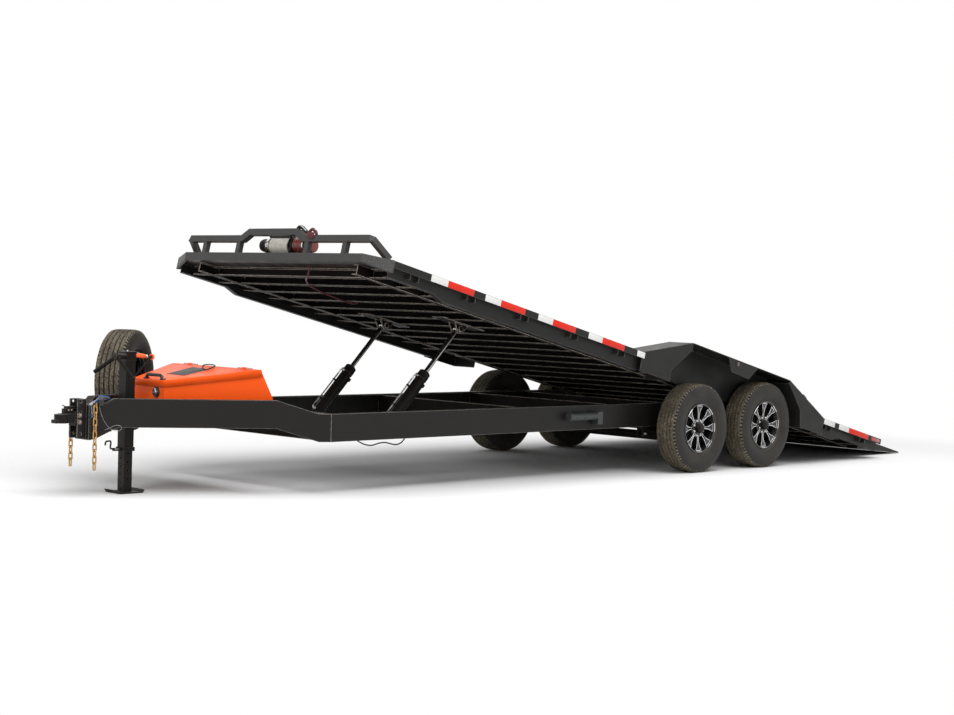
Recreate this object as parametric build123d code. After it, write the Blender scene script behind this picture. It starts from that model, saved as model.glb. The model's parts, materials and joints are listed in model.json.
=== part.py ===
"""Tandem-axle power-tilt trailer with drive-over fenders, deck raised and tail on the ground.

Millimetres. +X is forward to the coupler, +Y is the left side, +Z is up, the floor is Z = 0.
Every piece is first placed from the middle of the axle group, the deck pieces as they lie when the
deck is lowered. save() then moves the whole to its origin on the floor under the bounding box.
"""

from build123d import *
from math import atan2, cos, degrees, hypot, radians, sin, tan
import os

# ---------------------------------------------------------------- driving dimensions
# Wheels and axles
TYRE_RADIUS = 388.0
TYRE_WIDTH = 235.0
TYRE_OUTER_Y = 1280.0          # outer face of the tyres from the centre line
RIM_RADIUS = 205.0
RIM_HALF = 91.5
RIM_FLANGE = 6.0
AXLE_SPACING = 968.0
AXLE_DROP = 102.0              # how far the beam runs below the spindles
AXLE_TUBE_RADIUS = 38.0
SPINDLE_RADIUS = 26.0
HUB_CLEARANCE = 0.05           # running fit of a hub on its spindle

# Chassis
RAIL_OUTER_Y = 930.0
RAIL_TOP = 594.0
RAIL_DEPTH = 203.0
RAIL_FLANGE = 58.0
RAIL_WEB = 8.0
RAIL_FLANGE_THICK = 11.0
RAIL_FRONT_X = 4460.0
RAIL_REAR_X = -830.0
TONGUE_RISE = 94.0             # how far the tongue's arch stands above the rails
TONGUE_END_X = 5950.0
TONGUE_END_Y = 85.0            # outer face of a tongue member at its front end
COUPLER_X = 6130.0             # ball centre
COUPLER_Z = 545.0
BALL_SOCKET_RADIUS = 30.0
JACK_X = 5594.0
JACK_TUBE = 82.0
JACK_LEG = 72.0
JACK_TOP = 1010.0

# Deck
DECK_LENGTH = 7684.0
DECK_WIDTH = 2591.0
DECK_TOP = 718.0               # when lowered
TILT = 13.0                    # degrees, as it stands
PIVOT_X = -87.0
PIVOT_Z = 500.0
PIVOT_RADIUS = 22.0
PIVOT_CLEARANCE = 0.05
TAIL_TIP = 14.0                # height of the tail edge's top above the floor
PLANK = 38.0
CROSS_DEPTH = 70.0
CROSS_FLANGE = 38.0
CROSS_PITCH = 270.0
BEAM_DEPTH = 78.0
BEAM_OUTER_Y = 950.0
BEAM_FLANGE = 50.0
SIDE_DEPTH = 160.0
SIDE_NOSE_DEPTH = 122.0
SIDE_WEB_Y = 1246.0            # outer face of the side channel
SIDE_FLANGE = 50.0
RUB_HEIGHT = 52.0
RUB_THICK = 10.0
POCKET_PITCH = 609.6
CORNER_S = 106.0               # front corner chamfer along the deck
CORNER_Y = 235.0               # and across it
CORNER_DEPTH = 92.0            # the corner plate's depth where it meets the side
CORNER_GAP = 14.0              # between that plate and the floor
FRONT_BEAM_RISE = 24.0
FRONT_BEAM_DEPTH = 64.0
FRONT_BEAM_THICK = 76.0

# Fenders, in deck lengths from the tail tip
FENDER_START = 1830.0
FENDER_END = 4640.0
FENDER_RISE = 228.0
FENDER_RAMP = 650.0
FENDER_INNER_Y = 1030.0
FENDER_PLATE = 6.0

# Cylinders
CYLINDER_Y = 443.0
CYLINDER_BASE_X = 3460.0
CYLINDER_BASE_Z = 450.0
LUG_S = 5990.0
LUG_DROP = 155.0               # upper pin below the deck top
BARREL_RADIUS = 44.0
BARREL_BORE = 37.0
BARREL_LENGTH = 540.0
ROD_RADIUS = 19.0
CYLINDER_PIN = 16.0
EYE_RADIUS = 31.0
EYE_WIDTH = 50.0

# Spare wheel, toolbox
SPARE_X = 5085.0
SPARE_Y = -765.0
SPARE_Z = 760.0
SPARE_TURN = 35.0              # degrees of its plane from the centre line
BOX_FRONT_X = 5400.0
BOX_REAR_X = 4720.0
BOX_FRONT_HALF = 180.0
BOX_REAR_HALF = 575.0
BOX_FLOOR = 526.0
BOX_FRONT_TOP = 785.0
BOX_REAR_TOP = 872.0
BOX_WALL = 4.0
BOX_REAR_LEAN = 80.0
LID_RISE = 28.0

GAP = 0.3                      # between pieces that nearly touch
WELD_PLATE = 10.0

# ---------------------------------------------------------------- worked-out places
RAIL_BOTTOM = RAIL_TOP - RAIL_DEPTH
DECK_HALF = DECK_WIDTH / 2
TYRE_Y = TYRE_OUTER_Y - TYRE_WIDTH / 2
BEAM_BOTTOM = DECK_TOP - PLANK - BEAM_DEPTH
DECK_OFFSET = DECK_TOP - PIVOT_Z
# The tail edge comes down to the floor at the standing tilt.
PIVOT_S = (PIVOT_Z + DECK_OFFSET * cos(radians(TILT)) - TAIL_TIP) / sin(radians(TILT))
TAIL_X = PIVOT_X - PIVOT_S * cos(radians(TILT)) - DECK_OFFSET * sin(radians(TILT))
NOSE_X = COUPLER_X + 62.0
ORIGIN_X = (TAIL_X + NOSE_X) / 2
PIVOT_AXIS = Axis((PIVOT_X, 0, PIVOT_Z), (0, -1, 0))

made = {}


def deck_x(s):
    """Where a length from the tail tip lies on the lowered deck."""
    return PIVOT_X + s - PIVOT_S


def raised(shape):
    return shape.rotate(PIVOT_AXIS, TILT)


def save(name, shape):
    """Moves a finished piece to the origin and writes it."""
    made[name] = Location((-ORIGIN_X, 0, 0)) * shape
    export_step(made[name], f"parts/{name}.step")


def block(x0, x1, y0, y1, z0, z1):
    return Pos((x0 + x1) / 2, (y0 + y1) / 2, (z0 + z1) / 2) * Box(x1 - x0, y1 - y0, z1 - z0)


def side_plate(points, y0, y1):
    """A plate with an outline in X and Z, from y0 to y1."""
    face = make_face(Polyline(*points, close=True))
    return extrude(Plane.XZ.offset(-y0) * face, amount=-(y1 - y0))


def flat_plate(points, z0, z1):
    """A plate with an outline in X and Y, from z0 to z1."""
    face = make_face(Polyline(*points, close=True))
    return extrude(Plane.XY.offset(z0) * face, amount=z1 - z0)


def bar(start, end, radius):
    """A round bar from one point to another."""
    start, end = Vector(*start), Vector(*end)
    axis = end - start
    low = (Align.CENTER, Align.CENTER, Align.MIN)
    return Plane(origin=start, z_dir=axis) * Cylinder(radius, axis.length, align=low)


def across(x, z, y0, y1, radius):
    """A round bar across the trailer."""
    return bar((x, y0, z), (x, y1, z), radius)


def bent_rod(points, bend, radius):
    """A round rod along straight runs joined by arcs."""
    path = FilletPolyline(*points, radius=bend)
    start = Plane(origin=path @ 0, z_dir=path % 0)
    return sweep(start * Circle(radius), path=path)


def cord(points, radius):
    """A cord's tube: straight runs joined by arcs as large as the runs allow."""
    runs = [(Vector(*b) - Vector(*a)).length for a, b in zip(points, points[1:])]
    radii = []
    for n in range(1, len(points) - 1):
        first = Vector(*points[n]) - Vector(*points[n - 1])
        turn = radians(first.get_angle(Vector(*points[n + 1]) - Vector(*points[n])))
        radii.append(0.45 * min(runs[n - 1], runs[n]) / tan(turn / 2))
    path = FilletPolyline(*points, radius=radii)
    start = Plane(origin=path @ 0, z_dir=path % 0)
    tube = sweep(start * Circle(radius), path=path)
    share = tube.volume / (3.141593 * radius**2 * path.length)
    print("cord length", round(path.length), "volume share", round(share, 4))
    print("  runs", [round(r) for r in runs], "radii", [round(r) for r in radii])
    return tube


def mirrored(shape):
    return mirror(shape, about=Plane.XZ)


def both(name, left):
    """Saves a piece of the left side and its mirror image on the right."""
    save(f"left_{name}", left)
    save(f"right_{name}", mirrored(left))


def group(*shapes):
    """Solids of one node that don't touch."""
    solids = []
    for shape in shapes:
        solids.extend(shape.solids())
    return Compound(children=solids)


# ---------------------------------------------------------------- chassis rails and tongue
# Behind the pivot the rails are cut to the slope of the raised deck's underside.
WEDGE_CLEAR = 10.0


def under_deck(x):
    """Height of the raised deck's underside at x, over the chassis."""
    slope = radians(TILT)
    depth = PLANK + BEAM_DEPTH
    return PIVOT_Z + (x - PIVOT_X) * tan(slope) + (DECK_OFFSET - depth) / cos(slope)


def rail_outline(inset):
    cut_x = PIVOT_X + 10.0
    flange_top = RAIL_TOP - inset
    rear_top = under_deck(RAIL_REAR_X) - WEDGE_CLEAR - inset
    start = min(flange_top, under_deck(cut_x) - WEDGE_CLEAR - inset)
    reach = (flange_top - start) / tan(radians(TILT))
    return [
        (RAIL_REAR_X, RAIL_BOTTOM + inset),
        (RAIL_FRONT_X, RAIL_BOTTOM + inset),
        (RAIL_FRONT_X, flange_top),
        (cut_x + reach, flange_top),
        (RAIL_REAR_X, rear_top),
    ]


def frame_rail():
    """A channel with its web outside, cut to a wedge behind the pivot."""
    inner = RAIL_OUTER_Y - RAIL_FLANGE
    rail = side_plate(rail_outline(0), inner, RAIL_OUTER_Y)
    hollow = side_plate(rail_outline(RAIL_FLANGE_THICK), inner, RAIL_OUTER_Y - RAIL_WEB)
    wedge_end = block(RAIL_REAR_X - 1, PIVOT_X - 60, inner - 1, RAIL_OUTER_Y + 1, 0, 2000)
    rail -= hollow - wedge_end
    return rail - across(PIVOT_X, PIVOT_Z, inner - 1, RAIL_OUTER_Y + 1, PIVOT_RADIUS + PIVOT_CLEARANCE)


# ---------------------------------------------------------------- tongue
TONGUE_DX = TONGUE_END_X - RAIL_FRONT_X
TONGUE_DY = RAIL_OUTER_Y - TONGUE_END_Y
TONGUE_RUN = hypot(TONGUE_DX, TONGUE_DY)
TONGUE_ANGLE = degrees(atan2(-TONGUE_DY, TONGUE_DX))
TONGUE_WIDTH = 58.0


def tongue_outline(inset):
    """The arch of a tongue member, along its own length."""
    top, bottom = RAIL_TOP - inset, RAIL_BOTTOM + inset
    rise = TONGUE_RISE
    return [
        (0, bottom),
        (90, bottom),
        (400, bottom + rise),
        (TONGUE_RUN - 190, bottom + rise),
        (TONGUE_RUN - 40, bottom + 14),
        (TONGUE_RUN, bottom + 4),
        (TONGUE_RUN, top + 46),
        (TONGUE_RUN - 75, top + 46),
        (TONGUE_RUN - 160, top + rise),
        (400, top + rise),
        (90, top),
        (0, top),
    ]


def tongue_member():
    """A channel with its web outside, arched above the rails, running in to the coupler."""
    member = side_plate(tongue_outline(0), -TONGUE_WIDTH, 0)
    member -= side_plate(tongue_outline(RAIL_FLANGE_THICK), -TONGUE_WIDTH, -RAIL_WEB)
    placed = Pos(RAIL_FRONT_X, RAIL_OUTER_Y, 0) * (Rot(0, 0, TONGUE_ANGLE) * member)
    past_rail = block(RAIL_FRONT_X - 200, RAIL_FRONT_X, 0, 1500, 0, 1000)
    past_nose = block(TONGUE_END_X, TONGUE_END_X + 200, -100, 300, 0, 1000)
    return placed - past_rail - past_nose


def tongue_outer_y(x):
    """Outer face of the left tongue member at x."""
    return RAIL_OUTER_Y - (x - RAIL_FRONT_X) * TONGUE_DY / TONGUE_DX


def tongue_inner_y(x):
    return tongue_outer_y(x) - TONGUE_WIDTH / cos(radians(TONGUE_ANGLE)) - GAP


def between_tongue(x0, x1, z0, z1):
    """A plate that fits between the two tongue members."""
    y0, y1 = tongue_inner_y(x0), tongue_inner_y(x1)
    return flat_plate([(x0, -y0), (x1, -y1), (x1, y1), (x0, y0)], z0, z1)


SUPPORT_PLACES = (BOX_REAR_X + 60.0, BOX_FRONT_X - 60.0)
SUPPORT_WIDTH = 70.0


def toolbox_supports():
    """Two channels across the tongue, resting inside the members' lower flanges under the toolbox."""
    floor_z = RAIL_BOTTOM + TONGUE_RISE + RAIL_FLANGE_THICK
    web_depth = RAIL_WEB / cos(radians(TONGUE_ANGLE)) + GAP
    pieces = []
    for x in SUPPORT_PLACES:
        x0, x1 = x - SUPPORT_WIDTH / 2, x + SUPPORT_WIDTH / 2
        y0, y1 = tongue_outer_y(x0) - web_depth, tongue_outer_y(x1) - web_depth
        plan = [(x0, -y0), (x1, -y1), (x1, y1), (x0, y0)]
        channel = flat_plate(plan, floor_z + GAP, BOX_FLOOR - GAP)
        groove = block(x0 + 6, x1 - 6, -y0 - 1, y0 + 1, floor_z, BOX_FLOOR - 6)
        pieces.append(channel - groove)
    return group(*pieces)


NOSE_BLOCK_X = 5790.0


def tongue_nose():
    """Gusset plates that tie the members and carry the jack and the coupler channel."""
    low, high = RAIL_BOTTOM + 60, RAIL_TOP + 46
    top = between_tongue(5480, TONGUE_END_X, high - WELD_PLATE, high)
    hole = block(
        JACK_X - JACK_TUBE / 2, JACK_X + JACK_TUBE / 2, -JACK_TUBE / 2, JACK_TUBE / 2, 0, 2000
    )
    bottom = between_tongue(NOSE_BLOCK_X, TONGUE_END_X, low, low + WELD_PLATE)
    half = TONGUE_END_Y
    face = block(TONGUE_END_X, TONGUE_END_X + 12, -half, half, RAIL_BOTTOM + 4, RAIL_TOP + 46)
    return (top - hole) + face + block(
        TONGUE_END_X - 12, TONGUE_END_X, -20, 20, low + WELD_PLATE, high - WELD_PLATE
    ) + bottom


CROSS_PLACES = (2300.0, 1150.0, 420.0)


def crossmember(x, reach, low, high):
    """A channel across the chassis with its web in front."""
    flange, web, thick = 60.0, 6.0, 8.0
    piece = block(x - flange, x, -reach, reach, low, high)
    return piece - block(x - flange - 1, x - web, -reach - 1, reach + 1, low + thick, high - thick)


def frame_crossmembers():
    """A full-depth channel between the rails' front ends, and others fitted inside the rails."""
    front = crossmember(RAIL_FRONT_X, RAIL_OUTER_Y - RAIL_FLANGE - GAP, RAIL_BOTTOM, RAIL_TOP)
    reach = RAIL_OUTER_Y - RAIL_WEB - GAP
    low, high = RAIL_BOTTOM + RAIL_FLANGE_THICK + GAP, RAIL_TOP - RAIL_FLANGE_THICK - GAP
    return group(front, *[crossmember(x, reach, low, high) for x in CROSS_PLACES])


CYLINDER_TUBE = 102.0
LUG_THICK = 12.0
LUG_INSIDE = EYE_WIDTH / 2 + 3.0


def lug_pair(outline):
    """Two plates, one each side of a cylinder's eye, on the left cylinder."""
    outer = LUG_INSIDE + LUG_THICK
    first = side_plate(outline, CYLINDER_Y + LUG_INSIDE, CYLINDER_Y + outer)
    second = side_plate(outline, CYLINDER_Y - outer, CYLINDER_Y - LUG_INSIDE)
    return first + second


def cylinder_crossmember():
    """Square tube across the chassis with the lugs and pins that carry the cylinders."""
    inner = RAIL_OUTER_Y - RAIL_FLANGE - GAP
    x0 = CYLINDER_BASE_X + EYE_RADIUS + 22.0
    z0 = CYLINDER_BASE_Z - CYLINDER_TUBE / 2 - 5
    tube = block(x0, x0 + CYLINDER_TUBE, -inner, inner, z0, z0 + CYLINDER_TUBE)
    wall = 8.0
    tube -= block(
        x0 + wall, x0 + CYLINDER_TUBE - wall, -inner, inner, z0 + wall, z0 + CYLINDER_TUBE - wall
    )
    x, z = CYLINDER_BASE_X, CYLINDER_BASE_Z
    lugs = lug_pair([
        (x - 26, z - 14), (x - 12, z - 28), (x0, z - 44),
        (x0, z + 40), (x - 10, z + 29), (x - 26, z + 14),
    ])
    outer = LUG_INSIDE + LUG_THICK
    pin = across(x, z, CYLINDER_Y - outer - 6, CYLINDER_Y + outer + 6, CYLINDER_PIN)
    side = lugs + pin
    return tube + side + mirrored(side)


# ---------------------------------------------------------------- coupler and jack
def coupler_channel():
    """Upright channel with height-adjusting holes on the nose plate."""
    x0 = TONGUE_END_X + 12
    body = block(x0, x0 + 72, -52, 52, RAIL_BOTTOM + 14, RAIL_TOP + 88)
    body -= block(x0 + 10, x0 + 73, -40, 40, 0, 2000)
    for step in range(4):
        z = RAIL_BOTTOM + 45 + step * 76.2
        body -= across(x0 + 46, z, -60, 60, 10)
    return body


def coupler():
    """Ball coupler held in the channel, with its socket opening downwards."""
    x0 = TONGUE_END_X + 12 + 10 + GAP
    shank = block(x0, x0 + 72, -39.5, 39.5, COUPLER_Z - 50, COUPLER_Z + 50)
    neck = flat_plate(
        [(x0 + 72, -36), (COUPLER_X, -46), (COUPLER_X, 46), (x0 + 72, 36)],
        COUPLER_Z - 30, COUPLER_Z + 34,
    )
    head = Pos(COUPLER_X, 0, COUPLER_Z) * Cylinder(50, 62)
    nose = block(COUPLER_X, NOSE_X, -30, 30, COUPLER_Z - 31, COUPLER_Z - 6)
    latch = block(x0 + 40, COUPLER_X - 10, -14, 14, COUPLER_Z + 31, COUPLER_Z + 70)
    latch += block(x0 + 20, COUPLER_X - 30, -20, 20, COUPLER_Z + 68, COUPLER_Z + 86)
    body = shank + neck + head + nose + latch
    socket = bar((COUPLER_X, 0, COUPLER_Z - 40), (COUPLER_X, 0, COUPLER_Z + 10), BALL_SOCKET_RADIUS)
    return body - socket


JACK_SLEEVE_BOTTOM = 300.0
FOOT_HALF = 92.0
FOOT_LIP = 15.0                # how far the foot's turned edges reach past it
FOOT_THICK = 10.0
LEG_TOP = 620.0
LEG_HOLE = 8.0                 # radius of the holes that the drop leg's pin goes through
LEG_HOLE_PITCH = 60.0
LEG_HOLES = 8


def square_tube(x, y, side, wall, z0, z1):
    outer = block(x - side / 2, x + side / 2, y - side / 2, y + side / 2, z0, z1)
    bore = side - 2 * wall
    return outer - block(x - bore / 2, x + bore / 2, y - bore / 2, y + bore / 2, z0 - 1, z1 + 1)


def jack_tube():
    """Outer tube with its gear head, welded through the tongue's top gusset."""
    side = JACK_TUBE - 2 * GAP
    wall = (side - JACK_LEG) / 2 - GAP
    tube = square_tube(JACK_X, 0, side, wall, JACK_SLEEVE_BOTTOM, JACK_TOP - 60)
    collar = square_tube(JACK_X, 0, side + 14, wall + 7, JACK_SLEEVE_BOTTOM, JACK_SLEEVE_BOTTOM + 28)
    head = block(JACK_X - 48, JACK_X + 48, -44, 44, JACK_TOP - 60, JACK_TOP)
    lock_z = JACK_SLEEVE_BOTTOM + 14
    ear = block(JACK_X + side / 2, JACK_X + side / 2 + 62, -14, 14, lock_z - 12, lock_z - 2)
    hook = bent_rod([
        (JACK_X + side / 2 + 4, 0, lock_z + 4), (JACK_X + 130, 0, lock_z + 4),
        (JACK_X + 122, 0, lock_z + 62), (JACK_X + 168, 0, lock_z + 58), (JACK_X + 172, 0, lock_z + 30),
    ], 12, 6)
    return tube + collar + head + ear + hook


def jack_leg():
    """Drop leg with rows of pin holes through both pairs of walls, on a foot whose edges turn up."""
    leg = square_tube(JACK_X, 0, JACK_LEG, 6, FOOT_THICK, LEG_TOP)
    for n in range(LEG_HOLES):
        z = FOOT_THICK + (n + 1) * LEG_HOLE_PITCH
        leg -= bar((JACK_X - JACK_LEG, 0, z), (JACK_X + JACK_LEG, 0, z), LEG_HOLE)
        leg -= across(JACK_X, z + LEG_HOLE_PITCH / 2, -JACK_LEG, JACK_LEG, LEG_HOLE)
    foot = block(
        JACK_X - FOOT_HALF, JACK_X + FOOT_HALF, -FOOT_HALF, FOOT_HALF, 0, FOOT_THICK
    )
    lip = FOOT_HALF + FOOT_LIP
    turned = [
        (FOOT_HALF, 0), (lip, 16), (lip, 16 + FOOT_THICK), (FOOT_HALF, FOOT_THICK)
    ]
    front = side_plate([(JACK_X + x, z) for x, z in turned], -FOOT_HALF, FOOT_HALF)
    rear = side_plate([(JACK_X - x, z) for x, z in turned], -FOOT_HALF, FOOT_HALF)
    return leg + foot + front + rear


CRANK_HUB = (5722.0, 50.0, 980.0)
CRANK_ELBOW = (5622.0, 116.0, 826.0)
CRANK_END = (5492.0, 150.0, 978.0)
CRANK_GRIP_END = (5618.0, 150.0, 991.0)
LEVER_END = (5806.0, -96.0, 862.0)


def jack_crank():
    """Folded crank on the front of the head: two arms with a grip, and the speed lever beside it."""
    hub = bar((JACK_X + 48 + GAP, 50, 980), (CRANK_HUB[0] + 16, 50, 980), 19)
    arms = bent_rod([CRANK_HUB, CRANK_ELBOW, CRANK_END], 24, 8)
    grip = bar(CRANK_GRIP_END, (CRANK_END[0] - 14, CRANK_END[1], CRANK_END[2]), 16)
    lever = bar(CRANK_HUB, LEVER_END, 10)
    return hub + arms + grip + lever


# ---------------------------------------------------------------- toolbox
BOX_CORNER_TOP = BOX_REAR_X + BOX_REAR_LEAN
HINGE_RADIUS = 9.0


def box_half(x):
    """Half the toolbox's width at x."""
    share = (BOX_FRONT_X - x) / (BOX_FRONT_X - BOX_REAR_X)
    return BOX_FRONT_HALF + share * (BOX_REAR_HALF - BOX_FRONT_HALF)


def box_rim(x):
    """Height of the toolbox's rim at x."""
    share = (BOX_FRONT_X - x) / (BOX_FRONT_X - BOX_CORNER_TOP)
    return BOX_FRONT_TOP + share * (BOX_REAR_TOP - BOX_FRONT_TOP)


LID_SHEET = 4.0
LID_SKIRT = 22.0
LID_OVER = 14.0


def wall_top(x):
    """Top of the walls, just under the lid's sheet."""
    return box_rim(x) + LID_RISE - LID_SHEET - GAP


BOX_LEAN_FROM = 690.0          # height at which the rear wall starts to lean


def box_shell(inset, floor, above):
    """The toolbox's outside shrunk by a wall and raised above its rim, as one solid."""
    front, rear, top = BOX_FRONT_X - inset, BOX_REAR_X + inset, BOX_CORNER_TOP + inset
    half_f, half_r = box_half(front) - inset, box_half(rear) - inset
    plan = flat_plate([(rear, -half_r), (front, -half_f), (front, half_f), (rear, half_r)], floor, 1200)
    slope = (wall_top(top) - BOX_LEAN_FROM) / (top - rear)
    high_x = top + above / slope
    cut = side_plate(
        [(rear - 1, floor - 1), (front + 1, floor - 1), (front + 1, wall_top(front) + above),
         (high_x, wall_top(top) + above), (rear, BOX_LEAN_FROM), (rear - 1, BOX_LEAN_FROM)],
        -BOX_REAR_HALF - 1, BOX_REAR_HALF + 1,
    )
    return plan & cut


HINGE_X = BOX_CORNER_TOP - 12.0
HINGE_Z = wall_top(BOX_CORNER_TOP) + 1.0
HINGE_PLACES = (-330.0, 330.0)
KNUCKLE = 50.0


def toolbox_body():
    """Open tapered box that sits down between the tongue members."""
    body = box_shell(0, BOX_FLOOR, 0) - box_shell(BOX_WALL, BOX_FLOOR + BOX_WALL, 60.0)
    for y in HINGE_PLACES:
        for side in (-1, 1):
            middle = y + side * (KNUCKLE + 2)
            y0, y1 = middle - KNUCKLE / 2, middle + KNUCKLE / 2
            body += block(HINGE_X - 4, BOX_CORNER_TOP + 2, y0, y1, HINGE_Z - HINGE_RADIUS - 8, HINGE_Z - 5)
            body += across(HINGE_X, HINGE_Z, y0, y1, HINGE_RADIUS)
    return body


def lid_wedge(inset, low, high, rear):
    """A wedge over the toolbox's plan, between two heights above its rim."""
    front = BOX_FRONT_X + LID_OVER - inset
    half_f, half_r = box_half(front) + LID_OVER - inset, box_half(rear) + LID_OVER - inset
    plan = flat_plate([(rear, -half_r), (front, -half_f), (front, half_f), (rear, half_r)], 0, 1300)
    return plan & side_plate(
        [(rear, box_rim(rear) + low), (front, box_rim(front) + low), (front, box_rim(front) + high),
         (rear, box_rim(rear) + high)],
        -800, 800,
    )


def toolbox_lid():
    """Folded lid with a skirt on three sides, hinged along its rear edge."""
    rear = BOX_CORNER_TOP - 2.0
    lid = lid_wedge(0, -LID_SKIRT, LID_RISE, rear)
    lid -= lid_wedge(LID_SHEET, -LID_SKIRT - 1, LID_RISE - LID_SHEET, rear - 1)
    for y in HINGE_PLACES:
        lid += across(HINGE_X, HINGE_Z, y - KNUCKLE / 2, y + KNUCKLE / 2, HINGE_RADIUS)
        lid += block(
            HINGE_X, rear + 2, y - KNUCKLE / 2, y + KNUCKLE / 2, HINGE_Z + 3, HINGE_Z + HINGE_RADIUS - 2
        )
    front = BOX_FRONT_X + LID_OVER
    grip_z = box_rim(front) + LID_RISE
    for y in (-55, 55):
        lid += block(front - 62, front - 48, y - 7, y + 7, grip_z - 3, grip_z + 26)
    return lid + block(front - 64, front - 46, -62, 62, grip_z + 20, grip_z + 34)


# ---------------------------------------------------------------- axles and springs
def axle(x):
    """Drop axle: a low beam between two upright arms that carry the spindles."""
    z_beam = TYRE_RADIUS - AXLE_DROP
    arm_y = 958.0
    beam = across(x, z_beam, -arm_y, arm_y, AXLE_TUBE_RADIUS)
    arm = block(x - 36, x + 36, arm_y - 26, arm_y + 26, z_beam - 36, TYRE_RADIUS + 36)
    spindle = across(x, TYRE_RADIUS, arm_y, TYRE_Y + 60, SPINDLE_RADIUS)
    side = arm + spindle
    return beam + side + mirrored(side)


SPRING_Y = 880.0
SPRING_WIDTH = 45.0
SPRING_REACH = 340.0
LEAVES = 4
LEAF_THICK = 9.0
LEAF_STEP = 70.0               # how much shorter each leaf is than the one above, each end


def leaf_springs():
    """Four packs of leaves lying on the axle beams, just below the rails."""
    z_seat = TYRE_RADIUS - AXLE_DROP + AXLE_TUBE_RADIUS
    half = SPRING_WIDTH / 2
    packs = []
    for x in (AXLE_SPACING / 2, -AXLE_SPACING / 2):
        pack = None
        for leaf in range(LEAVES):
            reach = SPRING_REACH - leaf * LEAF_STEP
            z = z_seat + GAP + (LEAVES - 1 - leaf) * LEAF_THICK
            plate = block(x - reach, x + reach, SPRING_Y - half, SPRING_Y + half, z, z + LEAF_THICK)
            pack = plate if pack is None else pack + plate
        packs.append(pack)
        packs.append(mirrored(pack))
    return group(*packs)


def spring_hangers():
    """Hangers under the rails: front, middle with its equaliser, and rear."""
    top = RAIL_BOTTOM - GAP
    z_seat = TYRE_RADIUS - AXLE_DROP + AXLE_TUBE_RADIUS
    low = z_seat + LEAVES * LEAF_THICK + 2 * GAP
    half = SPRING_WIDTH / 2 + 10.0
    end = AXLE_SPACING / 2 + SPRING_REACH
    pieces = []
    for x, length in ((end, 70), (0, 120), (-end, 60)):
        cheek = block(x - length / 2, x + length / 2, SPRING_Y - half, SPRING_Y - half + 8, low - 62, top)
        other = block(x - length / 2, x + length / 2, SPRING_Y + half - 8, SPRING_Y + half, low - 62, top)
        cap = block(x - length / 2, x + length / 2, SPRING_Y - half, SPRING_Y + half, low, top)
        piece = cheek + other + cap
        pieces += [piece, mirrored(piece)]
    return group(*pieces)


# ---------------------------------------------------------------- wheels
def tyre():
    """Hollow tyre about the Y axis, its middle at the origin."""
    half, rad, rim = TYRE_WIDTH / 2, TYRE_RADIUS, RIM_RADIUS
    tread = half - 16.0
    wall = 14.0
    bead = RIM_HALF - RIM_FLANGE - GAP
    outside = [
        (0, rad), (tread - 24, rad), (tread, rad - 4), (half - 3, rad - 34), (half, rad - 92),
        (half - 10, rad - 140), (bead + 8, rim + 20), (bead, rim + 14), (bead, rim - 4),
    ]
    inside = [
        (bead - 18, rim - 4), (bead - 12, rim + 18), (half - wall - 8, rad - 100), (tread - 8, rad - 20),
        (0, rad - 20),
    ]
    half_outline = outside + inside
    face = make_face(Polyline(*[(r, y) for y, r in half_outline], close=True))
    ring = revolve(face, Axis.Y, 360)
    return ring + mirrored(ring)


def rim(hub):
    """Barrel, spokes and hub of a wheel about the Y axis, its outer face towards +Y."""
    half, flange = RIM_HALF, RIM_FLANGE
    r = RIM_RADIUS - 4.0 - GAP
    outline = [
        (-half, r + 16), (-half, r - 6), (-half + 20, r - 10), (-20, r - 26), (half - 20, r - 10),
        (half, r - 6), (half, r + 16), (half - flange, r + 16), (half - flange, r), (half - 26, r),
        (-20, r - 18), (-half + 26, r), (-half + flange, r), (-half + flange, r + 16),
    ]
    barrel = revolve(make_face(Polyline(*[(rr, y) for y, rr in outline], close=True)), Axis.Y, 360)
    disc = Rot(90, 0, 0) * Cylinder(84, DISC_THICK)
    wheel = barrel + Pos(0, DISC_Y, 0) * disc
    for n in range(8):
        spoke = block(60, r - 12, DISC_Y - DISC_THICK / 2, DISC_Y + DISC_THICK / 2 - 5, -17, 17)
        wheel += Rot(0, n * 45.0, 0) * spoke
    cap = Rot(90, 0, 0) * Cylinder(44, 40)
    wheel += Pos(0, half - 34, 0) * cap
    if hub:
        drum = Rot(90, 0, 0) * Cylinder(165, 70)
        wheel += Pos(0, -half + 52, 0) * drum
        wheel += Rot(90, 0, 0) * Cylinder(52, 2 * half - 90)
        wheel -= bar((0, -half - 1, 0), (0, 60 + 4, 0), SPINDLE_RADIUS + HUB_CLEARANCE)
    return wheel


# ---------------------------------------------------------------- deck
def channel_x(x0, x1, y_outer, flange, depth, top, thick):
    """A channel along the deck, web outside, flanges towards the centre line."""
    body = block(x0, x1, y_outer - flange, y_outer, top - depth, top)
    groove = block(
        x0 - 1, x1 + 1, y_outer - flange - 1, y_outer - thick, top - depth + thick, top - thick
    )
    return body - groove


NOSE_S = DECK_LENGTH - FRONT_BEAM_THICK
TAIL_S = 780.0                 # length of the knife-edge tail
TAIL_HALF = 1040.0             # half its width, less than the deck's


def main_beam():
    """Channel along the deck, over the chassis rail."""
    x0, x1 = deck_x(TAIL_S + 60), deck_x(NOSE_S) - GAP
    beam = channel_x(x0, x1, BEAM_OUTER_Y, BEAM_FLANGE, BEAM_DEPTH, DECK_TOP - PLANK, 7.0)
    return raised(beam)


def cross_places():
    """Lengths along the deck at which a crossmember lies."""
    first = NOSE_S - 150.0
    places = []
    s = first
    while s > TAIL_S + 120:
        places.append(s)
        s -= CROSS_PITCH
    return places


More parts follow.
